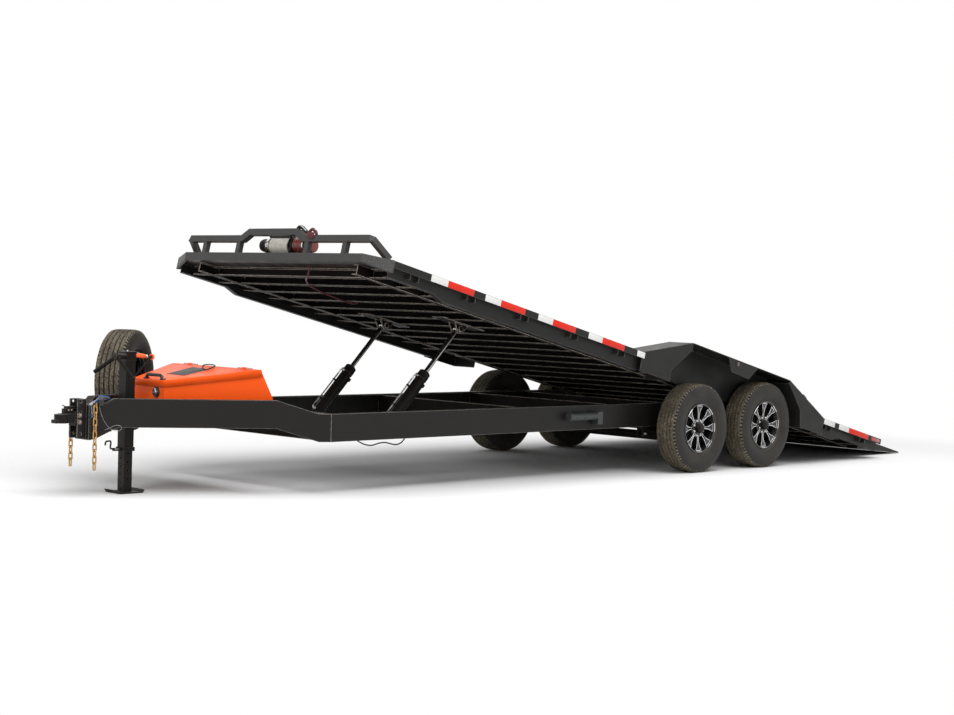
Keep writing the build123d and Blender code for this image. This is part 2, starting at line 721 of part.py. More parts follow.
def crossmembers():
    """Channels across the deck: between the main beams, and outboard of them."""
    top = DECK_TOP - PLANK
    web, thick = 5.0, 6.0
    inner = BEAM_OUTER_Y - BEAM_FLANGE - GAP
    pieces = []
    for s in cross_places():
        spans = [(-inner, inner)]
        at_fender = FENDER_START - 60 < s < FENDER_END + 60
        end = FENDER_INNER_Y - GAP if at_fender else SIDE_WEB_Y - SIDE_FLANGE - GAP
        spans += [(BEAM_OUTER_Y + GAP, end), (-end, -BEAM_OUTER_Y - GAP)]
        x = deck_x(s)
        for y0, y1 in spans:
            piece = block(x - CROSS_FLANGE / 2, x + CROSS_FLANGE / 2, y0, y1, top - CROSS_DEPTH, top)
            piece -= block(
                x - CROSS_FLANGE / 2 + web, x + CROSS_FLANGE, y0 - 1, y1 + 1,
                top - CROSS_DEPTH + thick, top - thick,
            )
            pieces.append(raised(piece))
    return group(*pieces)


def floor_corner(front, wide):
    """Half width of the floor's straight front edge, and X where its corner cut meets the sides."""
    slope = CORNER_S / CORNER_Y
    flat = DECK_HALF - CORNER_Y + (deck_x(DECK_LENGTH) - front - CORNER_GAP - 20.0) / slope
    return flat, front - (wide - flat) * slope


def planks():
    """The floor: one field as wide as the deck before the fenders, one between and one behind them."""
    z0, z1 = DECK_TOP - PLANK + GAP, DECK_TOP
    wide, narrow = SIDE_WEB_Y - 8.0, FENDER_INNER_Y - GAP
    front, rear = deck_x(NOSE_S) - GAP, deck_x(TAIL_S) + GAP
    x_f, x_r = deck_x(FENDER_END) + GAP, deck_x(FENDER_START) - GAP
    flat, corner_x = floor_corner(front, wide)
    fore = flat_plate(
        [(x_f, -wide), (corner_x, -wide), (front, -flat), (front, flat), (corner_x, wide), (x_f, wide)],
        z0, z1,
    )
    between = block(x_r + GAP, x_f - GAP, -narrow, narrow, z0, z1)
    aft = block(rear, x_r, -wide, wide, z0, z1)
    return raised(group(fore, between, aft))


def front_beam():
    """Tube across the nose of the deck, with the folded corner plates at its ends."""
    flat = DECK_HALF - CORNER_Y
    x0, x1 = deck_x(NOSE_S), deck_x(DECK_LENGTH)
    z1 = DECK_TOP + FRONT_BEAM_RISE
    beam = block(x0, x1, -flat, flat, z1 - FRONT_BEAM_DEPTH, z1)
    thick = 10.0
    back = x1 - CORNER_S
    low = DECK_TOP - CORNER_DEPTH
    corner = flat_plate(
        [(x1, flat), (x1 - thick * 2, flat), (back - thick, DECK_HALF - thick), (back - thick, DECK_HALF),
         (back, DECK_HALF)],
        low, z1,
    )
    beam_low = z1 - FRONT_BEAM_DEPTH
    corner &= side_plate(
        [(back - thick, DECK_TOP), (x1, z1), (x1, beam_low), (x1 - thick, beam_low), (back, low),
         (back - thick, low)],
        0, DECK_WIDTH,
    )
    corner += block(back - thick, back, SIDE_WEB_Y - 7, DECK_HALF - 2, low, DECK_TOP)
    edge, edge_x = floor_corner(x0 - GAP, SIDE_WEB_Y - 8.0)
    corner += flat_plate(
        [(x0, flat - 1), (x1 - thick, flat - 1), (back - thick / 2, DECK_HALF - thick / 2),
         (back - thick / 2, SIDE_WEB_Y - 2), (edge_x + GAP, SIDE_WEB_Y - 8), (x0, edge)],
        DECK_TOP - 8, DECK_TOP,
    )
    return raised(beam + corner + mirrored(corner))


STEP_S = (6980.0, 7100.0)      # where the side channel's underside rises to its shallow nose
TAIL_STEP_S = (1570.0, 1470.0) # and to its shallow rear end


def side_stretch(x_deep, x_end, steps):
    """One stretch of side channel, deep at the fender and shallower past the steps."""
    top, thick = DECK_TOP - PLANK, 7.0
    way = 1 if x_end > x_deep else -1

    def outline(inset, past):
        low, end_low = DECK_TOP - SIDE_DEPTH + inset, DECK_TOP - SIDE_NOSE_DEPTH + inset
        first, last = x_deep - way * past, x_end + way * past
        return [
            (first, low), (deck_x(steps[0]), low), (deck_x(steps[1]), end_low), (last, end_low),
            (last, top - inset), (first, top - inset),
        ]

    body = side_plate(outline(0, 0), SIDE_WEB_Y - SIDE_FLANGE, SIDE_WEB_Y)
    body -= side_plate(outline(thick, 1), SIDE_WEB_Y - SIDE_FLANGE - 1, SIDE_WEB_Y - thick)
    x0, x1 = sorted((x_deep, x_end))
    return body + block(x0, x1, SIDE_WEB_Y - thick, SIDE_WEB_Y, top, DECK_TOP)


def side_rail():
    """Side channel before and behind the fender; its ends are shallower."""
    x_nose = deck_x(DECK_LENGTH - CORNER_S) - 10 - GAP
    fore = side_stretch(deck_x(FENDER_END) + GAP, x_nose, STEP_S)
    aft = side_stretch(deck_x(FENDER_START) - GAP, deck_x(TAIL_S) + GAP, TAIL_STEP_S)
    return raised(group(fore, aft))


def rub_spans():
    """The stretches of the deck's edge before and behind the fender."""
    x_nose = deck_x(DECK_LENGTH - CORNER_S) - 10 - GAP
    return [(deck_x(FENDER_END) + GAP, x_nose), (deck_x(TAIL_S), deck_x(FENDER_START) - GAP)]


def rub_bar():
    """Flat bar along the deck's edge, held off the side channel."""
    y0 = DECK_HALF - RUB_THICK
    runs = [block(x0, x1, y0, DECK_HALF, DECK_TOP - RUB_HEIGHT, DECK_TOP) for x0, x1 in rub_spans()]
    return raised(group(*runs))


POCKET_HALF = 44.0
POCKET_WALL = 6.0
POCKET_DEPTH = 92.0
POCKET_FIRST = (228.0, 120.0)  # from the front end of each stretch to its first pocket


def pocket_places():
    """Middles of the stake pockets along the deck's edge."""
    places = []
    for (x0, x1), first in zip(rub_spans(), POCKET_FIRST):
        x = x1 - first
        while x > x0 + 60:
            places.append(x)
            x -= POCKET_PITCH
    return places


def stake_plates():
    """Pairs of plates between the side channel and the rub bar, which make the stake pockets."""
    y0, y1 = SIDE_WEB_Y + GAP, DECK_HALF - RUB_THICK - GAP
    plates = []
    for x in pocket_places():
        for side in (-1, 1):
            x0 = x + side * POCKET_HALF - POCKET_WALL / 2
            plates.append(block(x0, x0 + POCKET_WALL, y0, y1, DECK_TOP - POCKET_DEPTH, DECK_TOP))
    return raised(group(*plates))


def fender():
    """Drive-over fender: inner wall, ramped top, and the outer side plates."""
    p = FENDER_PLATE
    top = DECK_TOP + FENDER_RISE
    x0, x1 = deck_x(FENDER_START), deck_x(FENDER_END)
    a, b = x0 + FENDER_RAMP, x1 - FENDER_RAMP
    low = DECK_TOP - SIDE_DEPTH
    wall_low = BEAM_BOTTOM + 8
    cover = side_plate(
        [(x0, DECK_TOP - p), (a, top - p), (b, top - p), (x1, DECK_TOP - p), (x1, DECK_TOP), (b, top),
         (a, top), (x0, DECK_TOP)],
        FENDER_INNER_Y, DECK_HALF,
    )
    wall = side_plate(
        [(x0, wall_low), (x1, wall_low), (x1, DECK_TOP), (b, top), (a, top), (x0, DECK_TOP)],
        FENDER_INNER_Y, FENDER_INNER_Y + p,
    )
    front = [(x1, DECK_TOP), (b, top), (b, top - 66), (b + 235, DECK_TOP - 58), (b + 235, low), (x1, low)]
    rear = [(x0, DECK_TOP), (x0, low), (a - 285, low), (a - 240, DECK_TOP - 5), (a, top - 34), (a, top)]
    mid = (a + b) / 2
    middle = [(mid - 235, top), (mid - 120, top - 128), (mid + 150, top - 120), (mid + 225, top)]
    body = cover + wall
    for outline in (front, rear, middle):
        body += side_plate(outline, DECK_HALF - p, DECK_HALF)
    front_panel = [
        (b + 235, low), (b + 235, DECK_TOP - 58), (b, top - 66),
        (b + 4, top - 58), (b + 235 + p, DECK_TOP - 55), (b + 235 + p, low),
    ]
    rear_panel = [
        (a - 285, low), (a - 240, DECK_TOP - 5), (a, top - 34),
        (a - 4, top - 26), (a - 240 - p, DECK_TOP - 2), (a - 285 - p, low),
    ]
    for outline in (front_panel, rear_panel):
        body += side_plate(outline, FENDER_INNER_Y, DECK_HALF)
    return raised(body)


def tail():
    """Knife-edge tail: a top plate on ribs, with a solid edge bar at its tip."""
    x0, x1 = deck_x(0), deck_x(TAIL_S)
    half = TAIL_HALF
    tip = 12.0
    depth = PLANK + BEAM_DEPTH
    plate = block(x0, x1, -half, half, DECK_TOP - 8, DECK_TOP)
    edge = side_plate([(x0, DECK_TOP - tip), (x0, DECK_TOP), (x0 + 60, DECK_TOP), (x0 + 60, DECK_TOP - 20)],
                      -half, half)
    end = block(x1 - 10, x1, -half, half, DECK_TOP - depth, DECK_TOP)
    body = plate + edge + end
    ribs = 9
    for n in range(ribs):
        y = -half + n * (2 * half - 10) / (ribs - 1)
        body += side_plate(
            [(x0 + 50, DECK_TOP - 18), (x1, DECK_TOP - depth), (x1, DECK_TOP), (x0 + 50, DECK_TOP)],
            y, y + 10,
        )
    return raised(body)


def pivot_ears():
    """Plates that hang from the main beams and turn on the chassis pins."""
    y0 = RAIL_OUTER_Y + 6.0
    top = BEAM_BOTTOM - GAP
    ear = side_plate(
        [(PIVOT_X - 110, top), (PIVOT_X - 48, PIVOT_Z - 30), (PIVOT_X - 20, PIVOT_Z - 50),
         (PIVOT_X + 20, PIVOT_Z - 50), (PIVOT_X + 48, PIVOT_Z - 30), (PIVOT_X + 110, top)],
        y0, BEAM_OUTER_Y,
    )
    ear -= across(PIVOT_X, PIVOT_Z, y0 - 1, BEAM_OUTER_Y + 1, PIVOT_RADIUS + PIVOT_CLEARANCE)
    ear = raised(ear)
    return group(ear, mirrored(ear))


def pivot_pins():
    """Pins through the chassis rails that the deck turns on."""
    inner = RAIL_OUTER_Y - RAIL_FLANGE
    pin = across(PIVOT_X, PIVOT_Z, inner, BEAM_OUTER_Y + 8, PIVOT_RADIUS)
    pin += across(PIVOT_X, PIVOT_Z, BEAM_OUTER_Y + 2, BEAM_OUTER_Y + 14, PIVOT_RADIUS + 12)
    pin += across(PIVOT_X, PIVOT_Z, inner - 14, inner - GAP, PIVOT_RADIUS + 12)
    return group(pin, mirrored(pin))


def lift_brackets():
    """Plates under the deck whose lugs hold the cylinders' upper ends."""
    s0, s1 = LUG_S - 240.0, LUG_S + 240.0
    under = DECK_TOP - PLANK - CROSS_DEPTH - GAP
    x, z = deck_x(LUG_S), DECK_TOP - LUG_DROP
    base = block(deck_x(s0), deck_x(s1), CYLINDER_Y - 70, CYLINDER_Y + 70, under - 8, under)
    lugs = lug_pair([
        (x - 80, under - 8), (x - 24, z - 28), (x, z - 36), (x + 24, z - 28), (x + 80, under - 8),
    ])
    outer = LUG_INSIDE + LUG_THICK
    for y in (CYLINDER_Y + outer, CYLINDER_Y - outer - 8):
        lugs += across(x, z, y, y + 8, CYLINDER_PIN + 6)
    bracket = raised(base + lugs)
    return group(bracket, mirrored(bracket))


# ---------------------------------------------------------------- cylinders
def lug_place(tilt):
    """The upper pin's X and Z at a deck tilt in degrees."""
    turn = radians(tilt)
    along, up = LUG_S - PIVOT_S, DECK_OFFSET - LUG_DROP
    return (
        PIVOT_X + along * cos(turn) - up * sin(turn),
        PIVOT_Z + along * sin(turn) + up * cos(turn),
    )


def cylinder_at(tilt):
    """Length between the pins and slope in degrees at a deck tilt."""
    x, z = lug_place(tilt)
    dx, dz = x - CYLINDER_BASE_X, z - CYLINDER_BASE_Z
    return hypot(dx, dz), degrees(atan2(dz, dx))


OPEN_LENGTH, OPEN_SLOPE = cylinder_at(TILT)
SHUT_LENGTH = cylinder_at(0)[0]


def along_cylinder(shape):
    """Turns a piece drawn along +X from the base pin into the left cylinder's place."""
    return Pos(CYLINDER_BASE_X, CYLINDER_Y, CYLINDER_BASE_Z) * (Rot(0, -OPEN_SLOPE, 0) * shape)


GLAND = 40.0
LINE_RADIUS = 7.0              # of the steel oil line along a barrel
CAP = 22.0


def barrel():
    """Cylinder barrel with its base eye, gland and port blocks."""
    r = BARREL_RADIUS
    base = EYE_RADIUS + 14
    body = bar((base, 0, 0), (BARREL_LENGTH, 0, 0), r)
    body += bar((BARREL_LENGTH - GLAND, 0, 0), (BARREL_LENGTH, 0, 0), r + 5)
    body += across(0, 0, -EYE_WIDTH / 2, EYE_WIDTH / 2, EYE_RADIUS)
    body += block(0, base + 4, -EYE_WIDTH / 2, EYE_WIDTH / 2, -24, 24)
    body -= bar((base + CAP, 0, 0), (BARREL_LENGTH - GLAND, 0, 0), BARREL_BORE)
    body -= bar((BARREL_LENGTH - GLAND - 1, 0, 0), (BARREL_LENGTH + 1, 0, 0), ROD_RADIUS + HUB_CLEARANCE)
    body -= across(0, 0, -EYE_WIDTH, EYE_WIDTH, CYLINDER_PIN + HUB_CLEARANCE)
    ports = (base + CAP + 18, BARREL_LENGTH - GLAND - 22)
    for x in ports:
        body += block(x - 14, x + 14, -14, 14, r - 4, r + 22)
    body += bar((ports[0] - 40, 0, r + 12), (ports[1], 0, r + 12), LINE_RADIUS)
    return body


def rod():
    """Chromed rod with its piston and upper eye, and the short pin that the eye carries."""
    piston_x = BARREL_LENGTH - GLAND - 6
    body = bar((piston_x - 30, 0, 0), (OPEN_LENGTH - EYE_RADIUS + 6, 0, 0), ROD_RADIUS)
    body += bar((piston_x - 30, 0, 0), (piston_x, 0, 0), BARREL_BORE - HUB_CLEARANCE)
    body += across(OPEN_LENGTH, 0, -EYE_WIDTH / 2, EYE_WIDTH / 2, EYE_RADIUS)
    return body


# ---------------------------------------------------------------- headache rail and winch
RAIL_TUBE = 50.0


def headache_rail():
    """Bump rail across the nose on posts, raised over the winch and run down to the corners."""
    half = RAIL_TUBE / 2
    x = deck_x(DECK_LENGTH) - 36.0
    foot = DECK_TOP + FRONT_BEAM_RISE + GAP
    low, high = DECK_TOP + 167.0, DECK_TOP + 219.0
    profile = [
        (-1080, low - 50), (-1055, low), (-410, low), (-325, high), (262, high), (345, low), (1085, low),
        (1110, low - 50), (1085, low - 50), (322, low - 50), (240, high - 50), (-305, high - 50),
        (-388, low - 50), (-1055, low - 50),
    ]
    face = make_face(Polyline(*profile, close=True))
    rail = extrude(Plane(origin=(x - half, 0, 0), x_dir=(0, 1, 0), z_dir=(1, 0, 0)) * face, amount=RAIL_TUBE)
    for y in (-855, -430, 390, 822):
        rail += block(x - 21, x + 21, y - 21, y + 21, foot, low - 20)
    for top_y, foot_y in ((-1062, -1116), (1092, 1150)):
        start = Vector(x, top_y, low - 26)
        end = Vector(deck_x(DECK_LENGTH - 184.0), foot_y, DECK_TOP + 26)
        tube = Box(44, 44, (end - start).length, align=(Align.CENTER, Align.CENTER, Align.MIN))
        rail += Plane(origin=start, z_dir=end - start) * tube
    return raised(rail)


WINCH_X = deck_x(DECK_LENGTH) - 150.0
WINCH_Z = DECK_TOP + 120.0
DRUM_Y = (-156.0, 96.0)        # outer faces of the drum's flanges
DRUM_FLANGE = 72.0
DRUM_ROPE = 60.0               # radius of the drum with its rope
CHEEK = 16.0
GEAR_Y = 203.0                 # inner end of the clutch housing
WINCH_ENDS = (-286.0, 326.0)


def winch():
    """Electric winch behind the bump rail: motor, drum between cheeks, gearbox, on a base plate."""
    x, z = WINCH_X, WINCH_Z
    foot = DECK_TOP + GAP
    body = block(x - 80, x + 66, WINCH_ENDS[0] + 14, WINCH_ENDS[1] - 10, foot, DECK_TOP + 20)
    left, right = DRUM_Y[0] - GAP, DRUM_Y[1] + GAP
    body += across(x, z, WINCH_ENDS[0], left - 4, 52)
    body += across(x, z, right + CHEEK - 4, GEAR_Y, 66)
    body += across(x, z, GEAR_Y - 1, GEAR_Y + 88, 58)
    body += across(x, z, GEAR_Y + 87, WINCH_ENDS[1], 46)
    for y in (left - CHEEK, right, GEAR_Y):
        body += block(x - 58, x + 58, y, y + CHEEK, DECK_TOP + 16, z + 30)
    return raised(body)


def winch_drum():
    x, z = WINCH_X, WINCH_Z
    y0, y1 = DRUM_Y
    drum = across(x, z, y0, y1, DRUM_ROPE)
    drum += across(x, z, y0, y0 + 8, DRUM_FLANGE) + across(x, z, y1 - 8, y1, DRUM_FLANGE)
    return raised(drum)


# ---------------------------------------------------------------- spare wheel
def spare_place(shape):
    """Stands a wheel drawn about the Y axis beside the right tongue member, its face outboard."""
    return Pos(SPARE_X, SPARE_Y, SPARE_Z) * (Rot(0, 0, SPARE_TURN + 180) * shape)


DISC_Y = RIM_HALF - 48.0       # middle of a wheel's mounting disc
DISC_THICK = 26.0
CARRIER_REACH = 200.0


def spare_carrier():
    """Post on the right tongue member, and the arm and plate that the spare bolts to."""
    face = DISC_Y - DISC_THICK / 2 - GAP
    plate = block(-80, 80, face - WELD_PLATE, face, -80, 80)
    arm = block(-28, 28, -CARRIER_REACH - 20, face - WELD_PLATE, -28, 28)
    foot_z = RAIL_TOP + TONGUE_RISE + GAP - SPARE_Z
    post = bar((0, -CARRIER_REACH, foot_z), (0, -CARRIER_REACH, 20), 26)
    return plate + arm + post


# ---------------------------------------------------------------- small fittings
def document_tube():
    """Round tube for papers on the left rail, with its bracket."""
    y = RAIL_OUTER_Y + 38.0
    z = RAIL_TOP - 88.0
    tube = bar((1560, y, z), (1900, y, z), 32)
    tube += bar((1880, y, z), (1905, y, z), 36) + bar((1700, y, z), (1722, y, z), 36)
    return tube + block(1500, 1562, RAIL_OUTER_Y + GAP, y + 30, z - 70, z + 36)


CHAIN_WIRE = 5.2
LINK_PITCH = 44.0
LINK_BEND = 12.6


def chain_link():
    """One link, long side along Z, in the XZ plane."""
    half, bend = LINK_PITCH / 2 + 0.1, LINK_BEND
    straight = half - bend + CHAIN_WIRE
    path = Polyline((bend, 0, -straight), (bend, 0, straight))
    path += ThreePointArc((bend, 0, straight), (0, 0, straight + bend), (-bend, 0, straight))
    path += Polyline((-bend, 0, straight), (-bend, 0, -straight))
    path += ThreePointArc((-bend, 0, -straight), (0, 0, -straight - bend), (bend, 0, -straight))
    section = Plane(origin=(bend, 0, -straight), z_dir=(0, 0, 1)) * Circle(CHAIN_WIRE)
    return sweep(section, path=Wire(path.edges()))


def chain(x, y, z_top, links, first_turned):
    """Links hanging down from an ear, the first one's inner top at z_top."""
    link = chain_link()
    turned = Rot(0, 0, 90) * link
    inner_top = LINK_PITCH / 2 + 0.1
    pieces = []
    for n in range(links):
        piece = turned if (n % 2 == 0) == first_turned else link
        pieces.append(Pos(x, y, z_top - inner_top - n * LINK_PITCH) * piece)
    return pieces


EAR_THICK = 8.0
EAR_HOLE = 9.2
NEAR_EAR = (5935.0, 640.0)     # X and height of the left chain's ear
FAR_EAR = (-74.0, 436.0)       # Y and height of the right chain's ear
EAR_REACH = 26.0               # from the root of the near ear to its hole
FAR_REACH = 40.0               # and of the far ear, which stands out in front
EAR_SEAT = 2.2                 # slack of a link in its ear


def safety_chains():
    """A short chain each side of the nose, each hooked through an ear."""
    x, z = NEAR_EAR
    root = tongue_outer_y(x - EAR_THICK / 2) + GAP
    y = root + EAR_REACH
    left_ear = block(x - EAR_THICK / 2, x + EAR_THICK / 2, root, y + 16, z - 18, z + 18)
    left_ear -= bar((x - EAR_THICK, y, z), (x + EAR_THICK, y, z), EAR_HOLE)
    pieces = [left_ear] + chain(x, y, z - EAR_HOLE + EAR_SEAT, 10, False)
    y, z = FAR_EAR
    root = TONGUE_END_X + 12 + GAP
    x = root + FAR_REACH
    right_ear = block(root, x + 16, y - EAR_THICK / 2, y + EAR_THICK / 2, z - 18, z + 18)
    right_ear -= across(x, z, y - EAR_THICK, y + EAR_THICK, EAR_HOLE)
    pieces += [right_ear] + chain(x, y, z - EAR_HOLE + EAR_SEAT, 5, True)
    return group(*pieces)


# ---------------------------------------------------------------- hoses and cables
HOSE_RADIUS = 5.0
LEAD_RADIUS = 7.0
CABLE_RADIUS = 1.6
HOSE_ROUTE = [
    (4215, 921.7, 438), (4215, 886, 438), (4184, 858, 416), (4127, 851, 379), (4062, 854, 352),
    (3994, 857, 341), (3925, 854, 357), (3860, 857, 363), (3800, 853, 349), (3744, 856, 338),
    (3692, 858, 350), (3656, 860, 386), (3643, 866, 424), (3642, 894, 448), (3642, 921.7, 448),
]
CABLE_ROUTE = [
    (5906, 127, 636), (5899, 134, 590), (5884, 144, 541), (5860, 158, 497), (5829, 176, 468),
    (5797, 195, 459), (5775, 207, 471), (5773, 209, 492), (5793, 198, 505), (5823, 181, 498),
    (5848, 168, 481), (5874, 152, 470),
]
# Lengths from the tail tip, Y and height over the deck's top.
LEAD_ROUTE = [
    (7540, 330, -38.3), (7540, 330, -86), (7510, 292, -118), (7448, 204, -118.6), (7370, 118, -118),
    (7262, 20, -118.6), (7132, -58, -118), (6985, -112, -118.6), (6830, -146, -118), (6696, -158, -118.6),
    (6606, -162, -117), (6556, -163, -86), (6556, -163, -38.3),
]


def switch():
    """Breakaway switch on the left tongue member, where its cable starts."""
    x, _, z = CABLE_ROUTE[0]
    root = tongue_outer_y(x - 20) + GAP
    box = block(x - 20, x + 14, root, root + 30, z + 2 * GAP, z + 46)
    x, y, z = CABLE_ROUTE[-1]
    clip = block(x + 3 * GAP, x + 10, tongue_outer_y(x) + GAP, y + 6, z - 6, z + 6)
    return group(box, clip)


def lead_points():
    return [(deck_x(s), y, DECK_TOP + h) for s, y, h in LEAD_ROUTE]


# ---------------------------------------------------------------- the whole trailer
def main():
    os.makedirs("parts", exist_ok=True)
    both("frame_rail", frame_rail())
    both("tongue_member", tongue_member())
    save("tongue_nose", tongue_nose())
    save("frame_crossmembers", frame_crossmembers())
    save("cylinder_crossmember", cylinder_crossmember())
    save("coupler_channel", coupler_channel())
    save("coupler", coupler())
    save("jack_tube", jack_tube())
    save("jack_leg", jack_leg())
    save("jack_crank", jack_crank())
    save("toolbox_supports", toolbox_supports())
    save("toolbox_body", toolbox_body())
    save("toolbox_lid", toolbox_lid())
    save("front_axle", axle(AXLE_SPACING / 2))
    save("rear_axle", axle(-AXLE_SPACING / 2))
    save("leaf_springs", leaf_springs())
    save("spring_hangers", spring_hangers())
    save("pivot_pins", pivot_pins())
    save("document_tube", document_tube())
    save("safety_chains", safety_chains())
    save("hydraulic_hose", cord(HOSE_ROUTE, HOSE_RADIUS))
    save("breakaway_switch", switch())
    save("breakaway_cable", cord(CABLE_ROUTE, CABLE_RADIUS))
    one_tyre, one_rim = tyre(), rim(True)
    for end, x in (("front", AXLE_SPACING / 2), ("rear", -AXLE_SPACING / 2)):
        place = Pos(x, TYRE_Y, TYRE_RADIUS)
        both(f"{end}_tyre", place * one_tyre)
        both(f"{end}_wheel", place * one_rim)
    save("spare_tyre", spare_place(one_tyre))
    save("spare_wheel", spare_place(rim(False)))
    save("spare_carrier", spare_place(spare_carrier()))
    both("deck_beam", main_beam())
    both("side_rail", side_rail())
    both("rub_bar", rub_bar())
    both("stake_plates", stake_plates())
    both("fender", fender())
    save("deck_crossmembers", crossmembers())
    save("deck_floor", planks())
    save("deck_front_beam", front_beam())
    save("deck_tail", tail())
    save("pivot_ears", pivot_ears())
    save("lift_brackets", lift_brackets())
    save("headache_rail", headache_rail())
    save("winch", winch())
    save("winch_drum", winch_drum())
    save("winch_lead", raised(cord(lead_points(), LEAD_RADIUS)))
    both("cylinder_barrel", along_cylinder(barrel()))
    both("cylinder_rod", along_cylinder(rod()))
    print("nodes", len(made), "origin x", round(ORIGIN_X, 3), "pivot s", round(PIVOT_S, 2))
    print("cylinder", round(OPEN_LENGTH, 2), round(OPEN_SLOPE, 3), round(SHUT_LENGTH, 2))


main()
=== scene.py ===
# %% [markdown]
# # A tilt trailer, finished
# A CAD model gives every frame rail, axle and hinge of this trailer at its real size.
# This lesson adds what a CAD model leaves out: paint, rubber, timber, rope, lamps and light.
# Each piece is built in metres in the CAD model's own frame, so nothing has to be fitted by eye.

# %% Load the frame
import json
import math
import random

import bmesh
import bpy
from mathutils import Matrix, Quaternion, Vector
from mathutils.geometry import interpolate_bezier

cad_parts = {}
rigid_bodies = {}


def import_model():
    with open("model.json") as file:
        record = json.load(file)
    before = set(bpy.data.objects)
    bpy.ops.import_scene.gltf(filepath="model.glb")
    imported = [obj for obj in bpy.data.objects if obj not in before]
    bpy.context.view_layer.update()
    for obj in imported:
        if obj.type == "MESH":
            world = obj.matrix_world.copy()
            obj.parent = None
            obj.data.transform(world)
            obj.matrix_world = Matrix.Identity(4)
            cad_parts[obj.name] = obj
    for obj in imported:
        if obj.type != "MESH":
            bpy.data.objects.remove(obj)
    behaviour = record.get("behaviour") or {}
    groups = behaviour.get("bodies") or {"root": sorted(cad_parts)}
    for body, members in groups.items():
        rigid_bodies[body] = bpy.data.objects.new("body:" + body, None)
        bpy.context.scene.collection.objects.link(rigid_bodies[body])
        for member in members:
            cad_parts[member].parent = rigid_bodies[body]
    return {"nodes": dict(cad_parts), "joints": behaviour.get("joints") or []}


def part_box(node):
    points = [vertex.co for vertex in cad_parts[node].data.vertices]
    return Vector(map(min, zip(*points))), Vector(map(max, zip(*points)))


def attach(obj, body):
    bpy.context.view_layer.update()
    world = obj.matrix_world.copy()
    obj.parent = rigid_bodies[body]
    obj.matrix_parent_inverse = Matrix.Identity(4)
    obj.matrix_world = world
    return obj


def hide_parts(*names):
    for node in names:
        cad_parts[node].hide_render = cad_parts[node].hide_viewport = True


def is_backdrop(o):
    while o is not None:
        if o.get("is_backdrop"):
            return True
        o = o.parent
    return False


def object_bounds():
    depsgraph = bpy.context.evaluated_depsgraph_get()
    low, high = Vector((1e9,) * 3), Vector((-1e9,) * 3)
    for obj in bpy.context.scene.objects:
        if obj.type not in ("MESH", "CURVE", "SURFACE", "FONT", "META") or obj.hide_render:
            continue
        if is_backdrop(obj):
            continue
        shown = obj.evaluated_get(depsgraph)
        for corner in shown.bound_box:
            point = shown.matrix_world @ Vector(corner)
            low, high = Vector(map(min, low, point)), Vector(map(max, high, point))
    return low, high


for leftover in list(bpy.data.objects):
    bpy.data.objects.remove(leftover)
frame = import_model()
cad_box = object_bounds()
scene = bpy.context.scene

# %% [markdown]
# ## The camera
# A long lens from far off keeps the deck's edges nearly straight, which suits a long, low machine.
# The camera is placed with three turns: a heading, a small look down, and a slight roll.
# Quaternions are used, because a roll about the lens is then just one more product.

# %% Camera
EYE = Vector((11.4675, 10.6884, 1.4815))
HEADING, DROP, ROLL = math.radians(44.26), math.radians(1.97), math.radians(1.72)

camera = bpy.data.objects.new("camera", bpy.data.cameras.new("camera"))
camera.data.lens = 67.35
camera.data.sensor_width = 36.0
camera.data.clip_end = 200.0
camera.rotation_mode = "QUATERNION"
look = Vector((-math.cos(HEADING) * math.cos(DROP), -math.sin(HEADING) * math.cos(DROP), -math.sin(DROP)))
camera.rotation_quaternion = look.to_track_quat("-Z", "Y") @ Quaternion((0, 0, 1), ROLL)
camera.location = EYE
scene.collection.objects.link(camera)
scene.camera = camera
print("camera at", tuple(round(c, 2) for c in camera.location))

# %% [markdown]
# ## The breakaway cable
# A thin steel cable hangs from the breakaway switch on the left tongue member in one loose loop and comes
# back to a clip. A curve with a round section is right for it, because a cable is one length of something
# springy that never has a corner. Its control points are the route that the CAD model gives its tube.
# They are counted from the point midway between the axles, as a trailer builder would, so one small
# helper takes such a place to the frame.

# %% Places counted from the axles
ORIGIN_SHIFT = 1.515402         # the frame's middle, counted from the mid-axle point


def from_axles(x, y, z):
    """A place in the frame from one counted from the mid-axle point."""
    return Vector((x - ORIGIN_SHIFT, y, z))


# %% Breakaway cable
CABLE_RADIUS = 0.0016
CABLE_ROUTE = (
    (5.906, 0.127, 0.636), (5.899, 0.134, 0.590), (5.884, 0.144, 0.541), (5.860, 0.158, 0.497),
    (5.829, 0.176, 0.468), (5.797, 0.195, 0.459), (5.775, 0.207, 0.471), (5.773, 0.209, 0.492),
    (5.793, 0.198, 0.505), (5.823, 0.181, 0.498), (5.848, 0.168, 0.481), (5.874, 0.152, 0.470),
)
curve = bpy.data.curves.new("breakaway_cable_cord", "CURVE")
curve.dimensions = "3D"
curve.bevel_depth, curve.bevel_resolution, curve.resolution_u = CABLE_RADIUS, 3, 10
curve.use_fill_caps = True
line = curve.splines.new("NURBS")
line.points.add(len(CABLE_ROUTE) - 1)
for point, place in zip(line.points, CABLE_ROUTE):
    point.co = (*from_axles(*place), 1.0)
line.order_u = 3
line.use_endpoint_u = True
cable = bpy.data.objects.new("breakaway_cable_cord", curve)
scene.collection.objects.link(cable)
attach(cable, "chassis")
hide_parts("breakaway_cable")
print("cable has", len(CABLE_ROUTE), "control points")

# %% [markdown]
# ## The deck's own frame
# The deck stands tilted, and most of what is added lies on it.
# So a place on the deck is given as a length from the tail's edge, a distance to the left, and a height
# over the floor boards, and one matrix takes it to where the deck stands.
# The hinge and the tail's edge are read from the CAD model, which fixes that matrix.

# %% Deck frame
BOARD_OVER_HINGE = 0.218        # from the hinge's axis up to the boards' top, with the deck lowered

